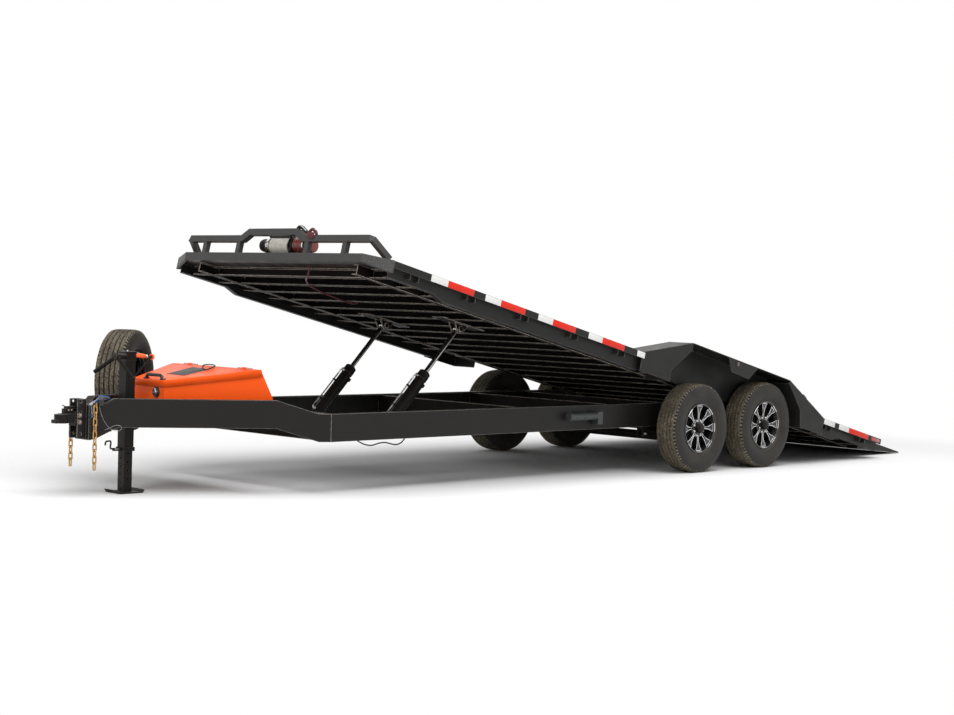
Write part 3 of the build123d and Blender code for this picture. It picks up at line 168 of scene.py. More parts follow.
tilt_joint = next(joint for joint in frame["joints"] if joint["name"] == "deck_tilt")
tilt = math.radians(tilt_joint["range_deg"][1])
hinge = Vector(tilt_joint["pos_m"])
tail_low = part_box("deck_tail")[0]
hinge_run = (hinge.x - tail_low.x - BOARD_OVER_HINGE * math.sin(tilt)) / math.cos(tilt)
DECK = (
    Matrix.Translation(hinge) @ Matrix.Rotation(-tilt, 4, "Y")
    @ Matrix.Translation((-hinge_run, 0, BOARD_OVER_HINGE))
)
print("hinge lies", round(hinge_run, 3), "m from the tail's edge")

# %% [markdown]
# ## Floor, sky and lamps
# The trailer stands on a pale floor that has to keep its soft shadow, yet run out to plain white.
# One floor disc does both: near the trailer it is a matt pale grey, and further off it fades to a plain
# white glow that only the camera and mirror-like rays see, so it lights nothing.
# The sky does the same: white to look at, and a gentler strength where it lights the object.
# Shaders are built from nodes, so a few helpers come first that add a node and say what it works on.

# %% Node helpers
def node(tree, kind, inputs={}, **settings):
    """Adds a shader node, sets or links its inputs, and returns its first output in use."""
    made = tree.nodes.new("ShaderNode" + kind)
    for key, value in settings.items():
        setattr(made, key, value)
    for key, value in inputs.items():
        if isinstance(value, bpy.types.NodeSocket):
            tree.links.new(value, made.inputs[key])
        else:
            made.inputs[key].default_value = value
    return next((socket for socket in made.outputs if socket.enabled), None)


def calc(tree, operation, a, b=0.5, clamp=False):
    """One sum of two numbers or sockets."""
    return node(tree, "Math", {0: a, 1: b}, operation=operation, use_clamp=clamp)


def product(tree, first, *masks):
    """Masks multiplied with each other."""
    for mask in masks:
        first = calc(tree, "MULTIPLY", first, mask, clamp=True)
    return first


def mix(tree, factor, a, b, blend="MIX"):
    """Two colours blended by a mask."""
    return node(tree, "Mix", {0: factor, 6: a, 7: b}, data_type="RGBA", blend_type=blend)


def remap(tree, value, low, high, to_low=0.0, to_high=1.0):
    """A smooth step of a value from one range to another."""
    limits = {0: value, 1: low, 2: high, 3: to_low, 4: to_high}
    return node(tree, "MapRange", limits, interpolation_type="SMOOTHSTEP")


# %% What a shader can know about a place
def own_metres(tree):
    """The place on the piece, in metres."""
    return node(tree, "TexCoord").node.outputs["Object"]


def surface_normal(tree):
    """The way the surface faces."""
    return node(tree, "NewGeometry").node.outputs["Normal"]


def one_axis(tree, vector, axis):
    """X, Y or Z of a vector."""
    return node(tree, "SeparateXYZ", {0: vector}).node.outputs[axis]


def seen_directly(tree):
    """1 for camera, glossy and transmission rays, and 0 for the rays that light other things."""
    rays = node(tree, "LightPath").node.outputs
    either = calc(tree, "MAXIMUM", rays["Is Camera Ray"], rays["Is Glossy Ray"])
    return calc(tree, "MAXIMUM", either, rays["Is Transmission Ray"])


# %% Sky
SKY_LIGHT = 0.62

scene.world = bpy.data.worlds.new("studio_sky")
scene.world.use_nodes = True
tree = scene.world.node_tree
tree.nodes.clear()
strength = remap(tree, seen_directly(tree), 0.0, 1.0, SKY_LIGHT, 1.0)
background = node(tree, "Background", {"Color": (1, 1, 1, 1), "Strength": strength})
node(tree, "OutputWorld", {"Surface": background})
print("sky lights the trailer at", SKY_LIGHT)

# %% Floor
FLOOR_RADIUS = 60.0
FLOOR_GREY = 0.82
FADE_FROM, FADE_TO = 0.4, 2.6   # metres outside the trailer's own plan

floor_material = bpy.data.materials.new("studio_floor")
floor_material.use_nodes = True
tree = floor_material.node_tree
tree.nodes.clear()
gaps = []
for axis, reach in (("X", cad_box[1].x), ("Y", cad_box[1].y)):
    from_middle = calc(tree, "ABSOLUTE", one_axis(tree, own_metres(tree), axis))
    gap = calc(tree, "MAXIMUM", calc(tree, "SUBTRACT", from_middle, reach), 0.0)
    gaps.append(calc(tree, "POWER", gap, 2.0))
away = calc(tree, "SQRT", calc(tree, "ADD", *gaps))
fade = calc(tree, "MULTIPLY", remap(tree, away, FADE_FROM, FADE_TO), seen_directly(tree))
matt = node(tree, "BsdfDiffuse", {"Color": (FLOOR_GREY, FLOOR_GREY, FLOOR_GREY, 1)})
glow = node(tree, "Emission", {"Color": (1, 1, 1, 1), "Strength": 1.0})
node(tree, "OutputMaterial", {0: node(tree, "MixShader", {0: fade, 1: matt, 2: glow})})

bm = bmesh.new()
bmesh.ops.create_circle(bm, cap_ends=True, segments=64, radius=FLOOR_RADIUS)
floor_mesh = bpy.data.meshes.new("studio_floor")
bm.to_mesh(floor_mesh)
bm.free()
floor = bpy.data.objects.new("studio_floor", floor_mesh)
floor.data.materials.append(floor_material)
scene.collection.objects.link(floor)
floor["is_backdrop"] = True
print("floor is", FLOOR_RADIUS * 2, "m across")


# %% Lamps
def soft_lamp(name, place, target, size, power):
    """A square area lamp that faces a target."""
    lamp = bpy.data.objects.new(name, bpy.data.lights.new(name, "AREA"))
    lamp.data.size = size
    lamp.data.energy = power
    lamp.location = place
    lamp.rotation_euler = (Vector(target) - Vector(place)).to_track_quat("-Z", "Y").to_euler()
    scene.collection.objects.link(lamp)
    print(name, "gives", power, "W")


soft_lamp("overhead_lamp", (1.0, 3.0, 9.0), (0.0, 0.0, 0.5), 9.0, 900.0)
soft_lamp("nose_lamp", (11.0, 3.0, 5.0), (2.0, 0.0, 0.8), 5.0, 260.0)
scene.view_settings.view_transform = "Standard"

# %% [markdown]
# ## Effects that many finishes share
# Paint, plastic, rubber and steel all gather dust on their upper faces, all lose paint along their edges,
# and all have a fine unevenness. On the black steel the pale edge colour is also painted highlight: thin lines
# of light along the edges.
# Each effect is a node group, built once, that puts out masks and colours.
# Every material places the group with its own values, so one idea of dust covers the whole machine.

# %% Group helpers
def shader_group(name, inputs, outputs):
    """A node group with named sockets. Returns its tree, what comes in, and its output node."""
    tree = bpy.data.node_groups.new(name, "ShaderNodeTree")
    for label, value in inputs.items():
        kind = "NodeSocketColor" if isinstance(value, tuple) else "NodeSocketFloat"
        tree.interface.new_socket(label, in_out="INPUT", socket_type=kind).default_value = value
    for label, kind in outputs.items():
        tree.interface.new_socket(label, in_out="OUTPUT", socket_type="NodeSocket" + kind)
    return tree, tree.nodes.new("NodeGroupInput").outputs, tree.nodes.new("NodeGroupOutput").inputs


def placed_group(tree, group, inputs):
    """Places a group in a material and returns its outputs."""
    return node(tree, "Group", inputs, node_tree=group).node.outputs


def object_noise(tree, scale, detail=4.0, roughness=0.55):
    """Noise on the piece's own metres."""
    settings = {"Vector": own_metres(tree), "Scale": scale, "Detail": detail, "Roughness": roughness}
    return node(tree, "TexNoise", settings)


# %% Road dust
road_dust, given, result = shader_group(
    "road_dust", {"Paint": (0.1, 0.1, 0.1, 1), "Dust": (0.22, 0.18, 0.13, 1), "Amount": 0.3},
    {"Color": "Color", "Mask": "Float"},
)
lying = remap(road_dust, one_axis(road_dust, surface_normal(road_dust), "Z"), 0.15, 0.95, 0.12, 1.0)
clouds = remap(road_dust, object_noise(road_dust, 2.6, 6.0, 0.65), 0.32, 0.72)
specks = remap(road_dust, object_noise(road_dust, 90.0, 3.0), 0.52, 0.74, 0.35, 1.0)
settled = product(road_dust, lying, clouds, specks, given["Amount"])
road_dust.links.new(settled, result["Mask"])
road_dust.links.new(mix(road_dust, settled, given["Paint"], given["Dust"]), result["Color"])

# %% Worn edges with painted highlight, and rounded edges
edge_wear_and_highlight, given, result = shader_group(
    "edge_wear_and_highlight", {"Radius": 0.004, "Amount": 0.5}, {"Mask": "Float", "Normal": "Vector"}
)
rounded = node(edge_wear_and_highlight, "Bevel", {"Radius": given["Radius"]}, samples=6)
both = {0: rounded, 1: surface_normal(edge_wear_and_highlight)}
likeness = node(edge_wear_and_highlight, "VectorMath", both, operation="DOT_PRODUCT").node.outputs["Value"]
edge = remap(edge_wear_and_highlight, likeness, 0.995, 0.86)
chips = remap(edge_wear_and_highlight, object_noise(edge_wear_and_highlight, 34.0, 5.0, 0.7), 0.36, 0.66, 0.5, 1.0)
edge_wear_and_highlight.links.new(product(edge_wear_and_highlight, edge, chips, given["Amount"]), result["Mask"])
edge_wear_and_highlight.links.new(rounded, result["Normal"])

# %% Fine unevenness of a sprayed or moulded surface
orange_peel, given, result = shader_group("orange_peel", {"Scale": 260.0, "Swell": 0.3}, {"Height": "Float"})
grit = {"Vector": own_metres(orange_peel), "Scale": given["Scale"], "Detail": 2.0}
pebble = node(orange_peel, "TexNoise", grit)
swell = calc(orange_peel, "MULTIPLY", object_noise(orange_peel, 7.0, 2.0), given["Swell"])
orange_peel.links.new(calc(orange_peel, "ADD", pebble, swell), result["Height"])
print("groups:", [group.name for group in bpy.data.node_groups])

# %% [markdown]
# ## Finishes
# Most of the trailer is powder-coated black steel, and the rest is a short list: orange box, gloss wheels,
# rubber, timber, plated steel. One builder makes every coated finish from the shared effects, and the
# rest get a builder of their own where the pattern is different, as grain is in timber.
# What is the same all over a finish is set on the shader itself, and only what varies passes through nodes.

# %% The plain shader and its bumps
def material(name, roughness, metallic=0.0, **sockets):
    """A material with a plain Principled shader. Returns the material, its tree and its shader."""
    made = bpy.data.materials.new(name)
    made.use_nodes = True
    shader = made.node_tree.nodes["Principled BSDF"]
    shader.inputs["Roughness"].default_value = roughness
    shader.inputs["Metallic"].default_value = metallic
    for label, value in sockets.items():
        shader.inputs[label.replace("_", " ")].default_value = value
    return made, made.node_tree, shader.inputs


def bumped(tree, shader, height, strength, distance, normal=None):
    """Raises the surface by a height pattern that is so many metres deep."""
    inputs = {"Height": height, "Strength": strength, "Distance": distance}
    if normal is not None:
        inputs["Normal"] = normal
    tree.links.new(node(tree, "Bump", inputs), shader["Normal"])


# %% The coated finish
PEEL_DEPTH = 0.0006


def coated(name, colour, roughness, dust=0.3, wear=0.35, bare=(0.16, 0.15, 0.14), radius=0.004,
           peel=0.12, peel_scale=260.0, dust_colour=(0.2, 0.17, 0.13), metallic=0.0, **sockets):
    """Paint, plastic or plating with dust on its upper faces, and a pale edge colour that is wear, and on black
    steel also painted highlight.
    """
    made, tree, shader = material(name, roughness, metallic, **sockets)
    dusty = placed_group(tree, road_dust, {"Paint": (*colour, 1), "Dust": (*dust_colour, 1), "Amount": dust})
    worn_and_highlit_edges = placed_group(tree, edge_wear_and_highlight, {"Radius": radius, "Amount": wear})
    # the edge colour is worn paint, and on the black steel a painted highlight along the edges
    tree.links.new(mix(tree, worn_and_highlit_edges["Mask"], dusty["Color"], (*bare, 1)), shader["Base Color"])
    smudges = object_noise(tree, 5.0, 5.0, 0.6)
    rough = remap(tree, smudges, 0.3, 0.75, roughness * 0.82, min(1.0, roughness * 1.22))
    under_dust = calc(tree, "MULTIPLY", dusty["Mask"], 0.95)
    tree.links.new(calc(tree, "MAXIMUM", rough, under_dust), shader["Roughness"])
    height = placed_group(tree, orange_peel, {"Scale": peel_scale})["Height"]
    bumped(tree, shader, height, peel, PEEL_DEPTH, worn_and_highlit_edges["Normal"])
    return made


# %% Powder coats
# frame_black's wide pale edges paint the thin highlight lines that light puts along its flanges
frame_black = coated("frame_black", (0.0105, 0.0095, 0.009), 0.42, dust=0.16, wear=0.95,
                     bare=(0.36, 0.34, 0.31), radius=0.007, Specular_IOR_Level=0.2)
jack_black = coated("jack_black", (0.0075, 0.006, 0.005), 0.4, dust=0.1, wear=0.7,
                    bare=(0.2, 0.17, 0.14), radius=0.004, Specular_IOR_Level=0.16)
# a darker, duller copy of frame black: painted shade for the parts under the deck, with bright beige edges that
# paint highlight lines on their flanges
under_shade_black = coated("under_shade_black", (0.0065, 0.0042, 0.0036), 0.6, dust=0.05, wear=1.0,
                     bare=(0.8, 0.7, 0.6), radius=0.0085, Specular_IOR_Level=0.08)
running_gear = coated("running_gear", (0.008, 0.0065, 0.005), 0.6, dust=0.45, wear=0.25,
                      dust_colour=(0.11, 0.09, 0.065), Specular_IOR_Level=0.15)
DECK_COAT = dict(colour=(0.0115, 0.0112, 0.0108), roughness=0.46, dust=0.3, wear=0.7,
                 bare=(0.24, 0.22, 0.2), radius=0.007, Specular_IOR_Level=0.22)
RAIL_COAT = dict(colour=(0.039, 0.0385, 0.038), roughness=0.48, dust=0.25, wear=0.5,
                 radius=0.006, peel=0.4, Specular_IOR_Level=0.3)
deck_black = coated("deck_black", **DECK_COAT)
fender_black = coated("fender_black", **DECK_COAT)
rail_grey = coated("rail_grey", **RAIL_COAT)
beam_grey = coated("beam_grey", **RAIL_COAT)
tube_grey = coated("tube_grey", (0.03, 0.036, 0.034), 0.42, dust=0.3, wear=0.2)

# %% Gloss paints and plastics
box_orange = coated("box_orange", (1.0, 0.105, 0.006), 0.38, dust=0.02, wear=0.2, bare=(1.0, 0.33, 0.12),
                    peel=0.1, Coat_Weight=0.04, Coat_Roughness=0.12, Specular_IOR_Level=0.15)
grip_orange = coated("grip_orange", (0.9, 0.11, 0.012), 0.45, dust=0.12, wear=0.2, bare=(1.0, 0.4, 0.2))
gear_red = coated("gear_red", (0.17, 0.012, 0.007), 0.22, dust=0.1, wear=0.5, bare=(0.4, 0.2, 0.14),
                  Coat_Weight=0.5)
wheel_black = coated("wheel_black", (0.006, 0.006, 0.0065), 0.16, dust=0.1, wear=0.1, peel=0.04,
                     Coat_Weight=0.45, Coat_Roughness=0.05)
black_plastic = coated("black_plastic", (0.014, 0.014, 0.014), 0.5, dust=0.25, wear=0.15,
                       bare=(0.08, 0.08, 0.08), peel=0.3, peel_scale=700.0)
lid_patch_grey = coated("lid_patch_grey", (0.045, 0.046, 0.046), 0.6, dust=0.2, wear=0.1, peel=0.4)
cord_rubber = coated("cord_rubber", (0.012, 0.012, 0.012), 0.55, dust=0.2, wear=0.0, peel=0.3,
                     peel_scale=600.0)
strap_red = coated("strap_red", (0.085, 0.012, 0.014), 0.75, dust=0.2, wear=0.0, peel=0.6)
lead_red = coated("lead_red", (0.075, 0.006, 0.008), 0.5, dust=0.1, wear=0.0, peel=0.2)
wire_blue = coated("wire_blue", (0.01, 0.13, 0.42), 0.45, dust=0.15, wear=0.0, peel=0.15)
wire_white = coated("wire_white", (0.62, 0.62, 0.6), 0.45, dust=0.15, wear=0.0, peel=0.15)
wire_yellow = coated("wire_yellow", (0.62, 0.42, 0.05), 0.45, dust=0.15, wear=0.0, peel=0.15)

# %% Metals
zinc_gold = coated("zinc_gold", (0.50, 0.30, 0.12), 0.36, metallic=1.0, dust=0.25, wear=0.3,
                   bare=(0.75, 0.7, 0.6), radius=0.0015)
bright_steel = coated("bright_steel", (0.56, 0.56, 0.55), 0.3, metallic=1.0, dust=0.15, wear=0.2,
                      bare=(0.8, 0.8, 0.8), radius=0.0015)
dull_steel = coated("dull_steel", (0.30, 0.25, 0.22), 0.45, metallic=1.0, dust=0.3, wear=0.4,
                    bare=(0.55, 0.5, 0.46), radius=0.0015)
cable_steel = coated("cable_steel", (0.33, 0.33, 0.34), 0.38, metallic=1.0, dust=0.2, wear=0.0,
                     peel=0.5, peel_scale=1800.0)
chrome = coated("chrome", (0.62, 0.63, 0.64), 0.13, metallic=1.0, dust=0.08, wear=0.0, peel=0.02)
rod_chrome = coated("rod_chrome", (0.42, 0.40, 0.38), 0.2, metallic=1.0, dust=0.08, wear=0.0, peel=0.05)
machined = coated("machined_silver", (0.86, 0.86, 0.87), 0.26, metallic=1.0, dust=0.05, wear=0.1,
                  bare=(0.95, 0.95, 0.95), radius=0.001, peel=0.05, peel_scale=900.0)
print(len(bpy.data.materials), "materials so far")

# %% [markdown]
# ### Chequer plate, and an orange that keeps to itself
# The fender tops and the front corner plates are chequer plate, whose raised lozenges are rubbed pale.
# The lozenges are a few millimetres high at most, so a cell pattern that drives colour and bump is enough,
# and a mask keeps it to the faces that have it.
# The box is so strong an orange that it would tint the floor, so for bounced light it is a dull brown.

# %% Chequer plate
LOZENGE_SCALE, LOZENGE_STRETCH = 34.0, (1.0, 1.9, 1.0)
LOZENGE_HIGH = 0.002
BEAM_STRAIGHT = (1.058, 1.064)  # where the front beam's straight part ends, counted from the middle


def chequered(made, where):
    """Adds raised lozenges, rubbed pale, where a mask says."""
    tree, shader = made.node_tree, made.node_tree.nodes["Principled BSDF"].inputs
    slanted = {"Vector": own_metres(tree), "Scale": LOZENGE_STRETCH, "Rotation": (0.0, 0.0, 0.785)}
    cells = {"Vector": node(tree, "Mapping", slanted), "Scale": LOZENGE_SCALE, "Randomness": 0.25}
    raised = product(tree, remap(tree, node(tree, "TexVoronoi", cells), 0.34, 0.16), where(tree))
    painted, normal = (shader[socket].links[0].from_socket for socket in ("Base Color", "Normal"))
    rubbed = mix(tree, product(tree, raised, 0.75), painted, (0.115, 0.112, 0.108, 1))
    tree.links.new(rubbed, shader["Base Color"])
    bumped(tree, shader, raised, 0.6, LOZENGE_HIGH, normal)


def upward(tree):
    """1 where a face looks up."""
    return remap(tree, one_axis(tree, surface_normal(tree), "Z"), 0.5, 0.8)


def outboard(tree):
    """1 past the straight part of the front beam."""
    return remap(tree, calc(tree, "ABSOLUTE", one_axis(tree, own_metres(tree), "Y")), *BEAM_STRAIGHT)


chequered(fender_black, upward)
chequered(beam_grey, outboard)

# %% Keep the orange box from colouring the floor
tree = box_orange.node_tree
shader = tree.nodes["Principled BSDF"].inputs
painted = shader["Base Color"].links[0].from_socket
bounced = node(tree, "LightPath").node.outputs["Is Diffuse Ray"]
tree.links.new(mix(tree, bounced, painted, (0.2, 0.05, 0.03, 1)), shader["Base Color"])

# %% [markdown]
# ### Rubber, timber, tape and lamp plastic
# Tyre rubber is matt, and brown with road dust where it touches the road, so the ribs, the grooves and the
# shoulders each have their own rubber, the grooves the darkest, painted dark as shade.
# The floor boards are rough-sawn pine: rings stretched along the board make the grain, and each board
# shifts the pattern by its own random value, so no two boards match. Their undersides are painted dark, as
# shade.
# Reflective tape is a clear face over tiny cells, which give it its mottled sparkle.

# %% Tread rubber
def rubber(name, base, dust, speckle, most):
    """Tyre rubber under a film of road dust, broken up by specks."""
    made, tree, shader = material(name, 0.85, Specular_IOR_Level=0.2)
    cloudy = remap(tree, object_noise(tree, 5.0, 5.0, 0.7), 0.3, 0.7, 0.35, 1.0)
    specks = remap(tree, object_noise(tree, 75.0, 4.0, 0.75), 0.44, 0.6)
    ground = mix(tree, cloudy, (*base, 1), (*dust, 1))
    speckled = mix(tree, product(tree, cloudy, specks, most), ground, (*speckle, 1))
    tree.links.new(speckled, shader["Base Color"])
    return made


tread_rubber = rubber("tread_rubber", (0.03, 0.0255, 0.019), (0.064, 0.053, 0.038), (0.26, 0.22, 0.155), 0.7)
# the grooves' rubber is near black: painted shade inside the grooves
groove_shade_rubber = rubber("groove_shade_rubber", (0.008, 0.006, 0.005), (0.014, 0.011, 0.008), (0.04, 0.03, 0.02), 0.4)
shoulder_rubber = rubber("shoulder_rubber", (0.04, 0.034, 0.028), (0.085, 0.074, 0.06), (0.30, 0.27, 0.22),
                         0.85)

# %% Side wall rubber
tyre_rubber, tree, shader = material("tyre_rubber", 0.55, Specular_IOR_Level=0.22)
dusty = placed_group(tree, road_dust, {
    "Paint": (0.017, 0.0165, 0.016, 1), "Dust": (0.085, 0.07, 0.05, 1), "Amount": 0.35,
})
film = remap(tree, object_noise(tree, 4.0, 6.0, 0.7), 0.3, 0.7, 0.25, 0.85)
tops = remap(tree, node(tree, "NewGeometry").node.outputs["Pointiness"], 0.48, 0.54)
film = product(tree, film, remap(tree, tops, 0.0, 1.0, 0.3, 0.95))
tree.links.new(mix(tree, film, dusty["Color"], (0.075, 0.062, 0.046, 1)), shader["Base Color"])
height = placed_group(tree, orange_peel, {"Scale": 420.0, "Swell": 0.1})["Height"]
bumped(tree, shader, height, 0.25, 0.0005)

# %% Timber
board_timber, tree, shader = material("board_timber", 0.72, Specular_IOR_Level=0.3)
shift = node(tree, "Attribute", attribute_name="board_shift").node.outputs["Vector"]
spot = node(tree, "VectorMath", {0: own_metres(tree), 1: shift}, operation="ADD")


def along_board(stretch):
    """The shifted place, turned level with the boards and stretched along them."""
    return node(tree, "Mapping", {"Vector": spot, "Rotation": (0.0, tilt, 0.0), "Scale": stretch})


rings = node(tree, "TexNoise", {
    "Vector": along_board((0.5, 9.0, 9.0)), "Scale": 3.0, "Detail": 3.0, "Distortion": 0.6,
})
grain = remap(tree, calc(tree, "FRACT", calc(tree, "MULTIPLY", rings, 11.0)), 0.0, 0.85)
fibres = node(tree, "TexNoise", {"Vector": along_board((2.0, 110.0, 110.0)), "Scale": 3.0, "Detail": 4.0})
stains = remap(tree, object_noise(tree, 1.1, 5.0, 0.6), 0.46, 0.75, 0.0, 0.45)
# painted shade: faces that look down are painted near black
painted_underside_shade = remap(tree, one_axis(tree, surface_normal(tree), "Z"), 0.2, -0.3)

# %% Timber colours
wood = mix(tree, one_axis(tree, shift, "Z"), (0.33, 0.215, 0.115, 1), (0.25, 0.165, 0.095, 1))
for amount, darker in (
    (calc(tree, "MULTIPLY", grain, 0.55), (0.135, 0.08, 0.042, 1)),
    (remap(tree, fibres, 0.45, 0.72, 0.0, 0.5), (0.11, 0.07, 0.04, 1)),
    (stains, (0.1, 0.085, 0.07, 1)),
    (painted_underside_shade, (0.016, 0.0105, 0.008, 1)),
):
    wood = mix(tree, amount, wood, darker)
tree.links.new(wood, shader["Base Color"])
bumped(tree, shader, fibres, 0.5, 0.0012)


# %% Tape
def cell_tape(name, colour):
    """Retroreflective tape: a clear face over small cells."""
    made, tree, shader = material(name, 0.42, Coat_Weight=0.08, Coat_Roughness=0.15, Specular_IOR_Level=0.2)
    pattern = {"Vector": own_metres(tree), "Scale": 160.0}
    seam = remap(tree, node(tree, "TexVoronoi", pattern, feature="DISTANCE_TO_EDGE"), 0.0, 0.12, 0.72, 1.0)
    shine = mix(tree, 1.0, (*colour, 1), seam, "MULTIPLY")
    dusty = placed_group(tree, road_dust, {"Paint": shine, "Dust": (0.3, 0.26, 0.2, 1), "Amount": 0.2})
    tree.links.new(dusty["Color"], shader["Base Color"])
    return made


tape_white = cell_tape("tape_white", (0.78, 0.78, 0.76))
tape_red = cell_tape("tape_red", (0.72, 0.022, 0.008))


# %% Lamp plastic
def lens(name, colour):
    """A moulded lamp lens with fine prism lines."""
    made, tree, shader = material(name, 0.12, Coat_Weight=1.0, Coat_Roughness=0.04)
    lines = node(tree, "TexWave", {"Vector": own_metres(tree), "Scale": 90.0, "Distortion": 0.4})
    shaded = tuple(0.55 * c for c in colour) + (1,)
    tree.links.new(mix(tree, lines, (*colour, 1), shaded), shader["Base Color"])
    bumped(tree, shader, lines, 0.35, 0.0008)
    return made


lens_red = lens("lens_red", (0.5, 0.008, 0.006))
lens_clear = lens("lens_clear", (0.6, 0.6, 0.58))
lens_dark = lens("lens_dark", (0.035, 0.009, 0.005))

# %% Rope
rope_grey, tree, shader = material("rope_grey", 0.6)
twisted = node(tree, "Mapping", {"Vector": own_metres(tree), "Rotation": (0.0, 0.6, 0.5)})
strands = node(tree, "TexWave", {"Vector": twisted, "Scale": 55.0, "Distortion": 1.2, "Detail": 2.0})
worn_tone = mix(tree, object_noise(tree, 30.0, 3.0), (0.55, 0.51, 0.45, 1), (0.86, 0.82, 0.75, 1))
grooved = mix(tree, calc(tree, "MULTIPLY", strands, 0.3), worn_tone, (0.16, 0.145, 0.12, 1))
tree.links.new(grooved, shader["Base Color"])
bumped(tree, shader, strands, 0.6, 0.001)

# %% [markdown]
# ## Finishes on the CAD parts
# A CAD part whose shape is right only needs its finish, set in its material slot.
# The list below gives each part the finish that its real piece has; what is not named is frame black.

# %% Finish the CAD parts
FINISHES = {
    deck_black: ["side_rail", "stake_plates", "rub_bar", "pivot_ears"],
    fender_black: ["fender", "deck_tail"],
    under_shade_black: ["deck_crossmembers", "deck_beam", "lift_brackets", "frame_crossmembers",
                  "cylinder_crossmember", "toolbox_supports"],
    rail_grey: ["headache_rail"],
    beam_grey: ["deck_front_beam"],
    running_gear: ["front_axle", "rear_axle", "leaf_springs", "spring_hangers"],
    box_orange: ["toolbox_body", "toolbox_lid"],
    zinc_gold: ["safety_chains"],
    rod_chrome: ["cylinder_rod"],
    bright_steel: ["pivot_pins"],
    jack_black: ["jack_tube", "jack_leg", "jack_head", "coupler", "cylinder_barrel"],
    tube_grey: ["document_tube"],
    black_plastic: ["breakaway_switch"],
    cord_rubber: ["hydraulic_hose"],
    lead_red: ["winch_lead"],
    board_timber: ["deck_floor"],
    tyre_rubber: ["tyre"],
    wheel_black: ["wheel"],
}


def finish_of(name):
    """The finish whose list has an ending that the part's name ends with."""
    for finish, endings in FINISHES.items():
        if name.endswith(tuple(endings)):
            return finish
    return frame_black


for name, part in frame["nodes"].items():
    part.data.materials.clear()
    part.data.materials.append(finish_of(name))
cable.data.materials.append(cable_steel)
print(len(frame["nodes"]), "CAD parts finished,", len(bpy.data.materials), "materials")

# %% [markdown]
# ## A small workshop
# A trailer is hundreds of small things of a few kinds: plates, rods, bolts, turned parts, bent wire.
# A `Piece` gathers such shapes in one mesh, gives each its own finish, and rides on one body of the CAD model.
# Most edges get a small bevel, because real edges are rounded and catch a thin line of light.

# %% Places and turns
def moved(x=0.0, y=0.0, z=0.0):
    """The matrix of a plain move."""
    return Matrix.Translation((x, y, z))


def turn(axis, degrees):
    """The matrix of a plain turn."""
    return Matrix.Rotation(math.radians(degrees), 4, axis)


def along(start, end):
    """The matrix that takes local Z from one point towards another."""
    start, end = Vector(start), Vector(end)
    return Matrix.Translation(start) @ (end - start).to_track_quat("Z", "Y").to_matrix().to_4x4()


def verts_in(geometry):
    """The vertices among what an operator gives back."""
    return [element for element in geometry if isinstance(element, bmesh.types.BMVert)]


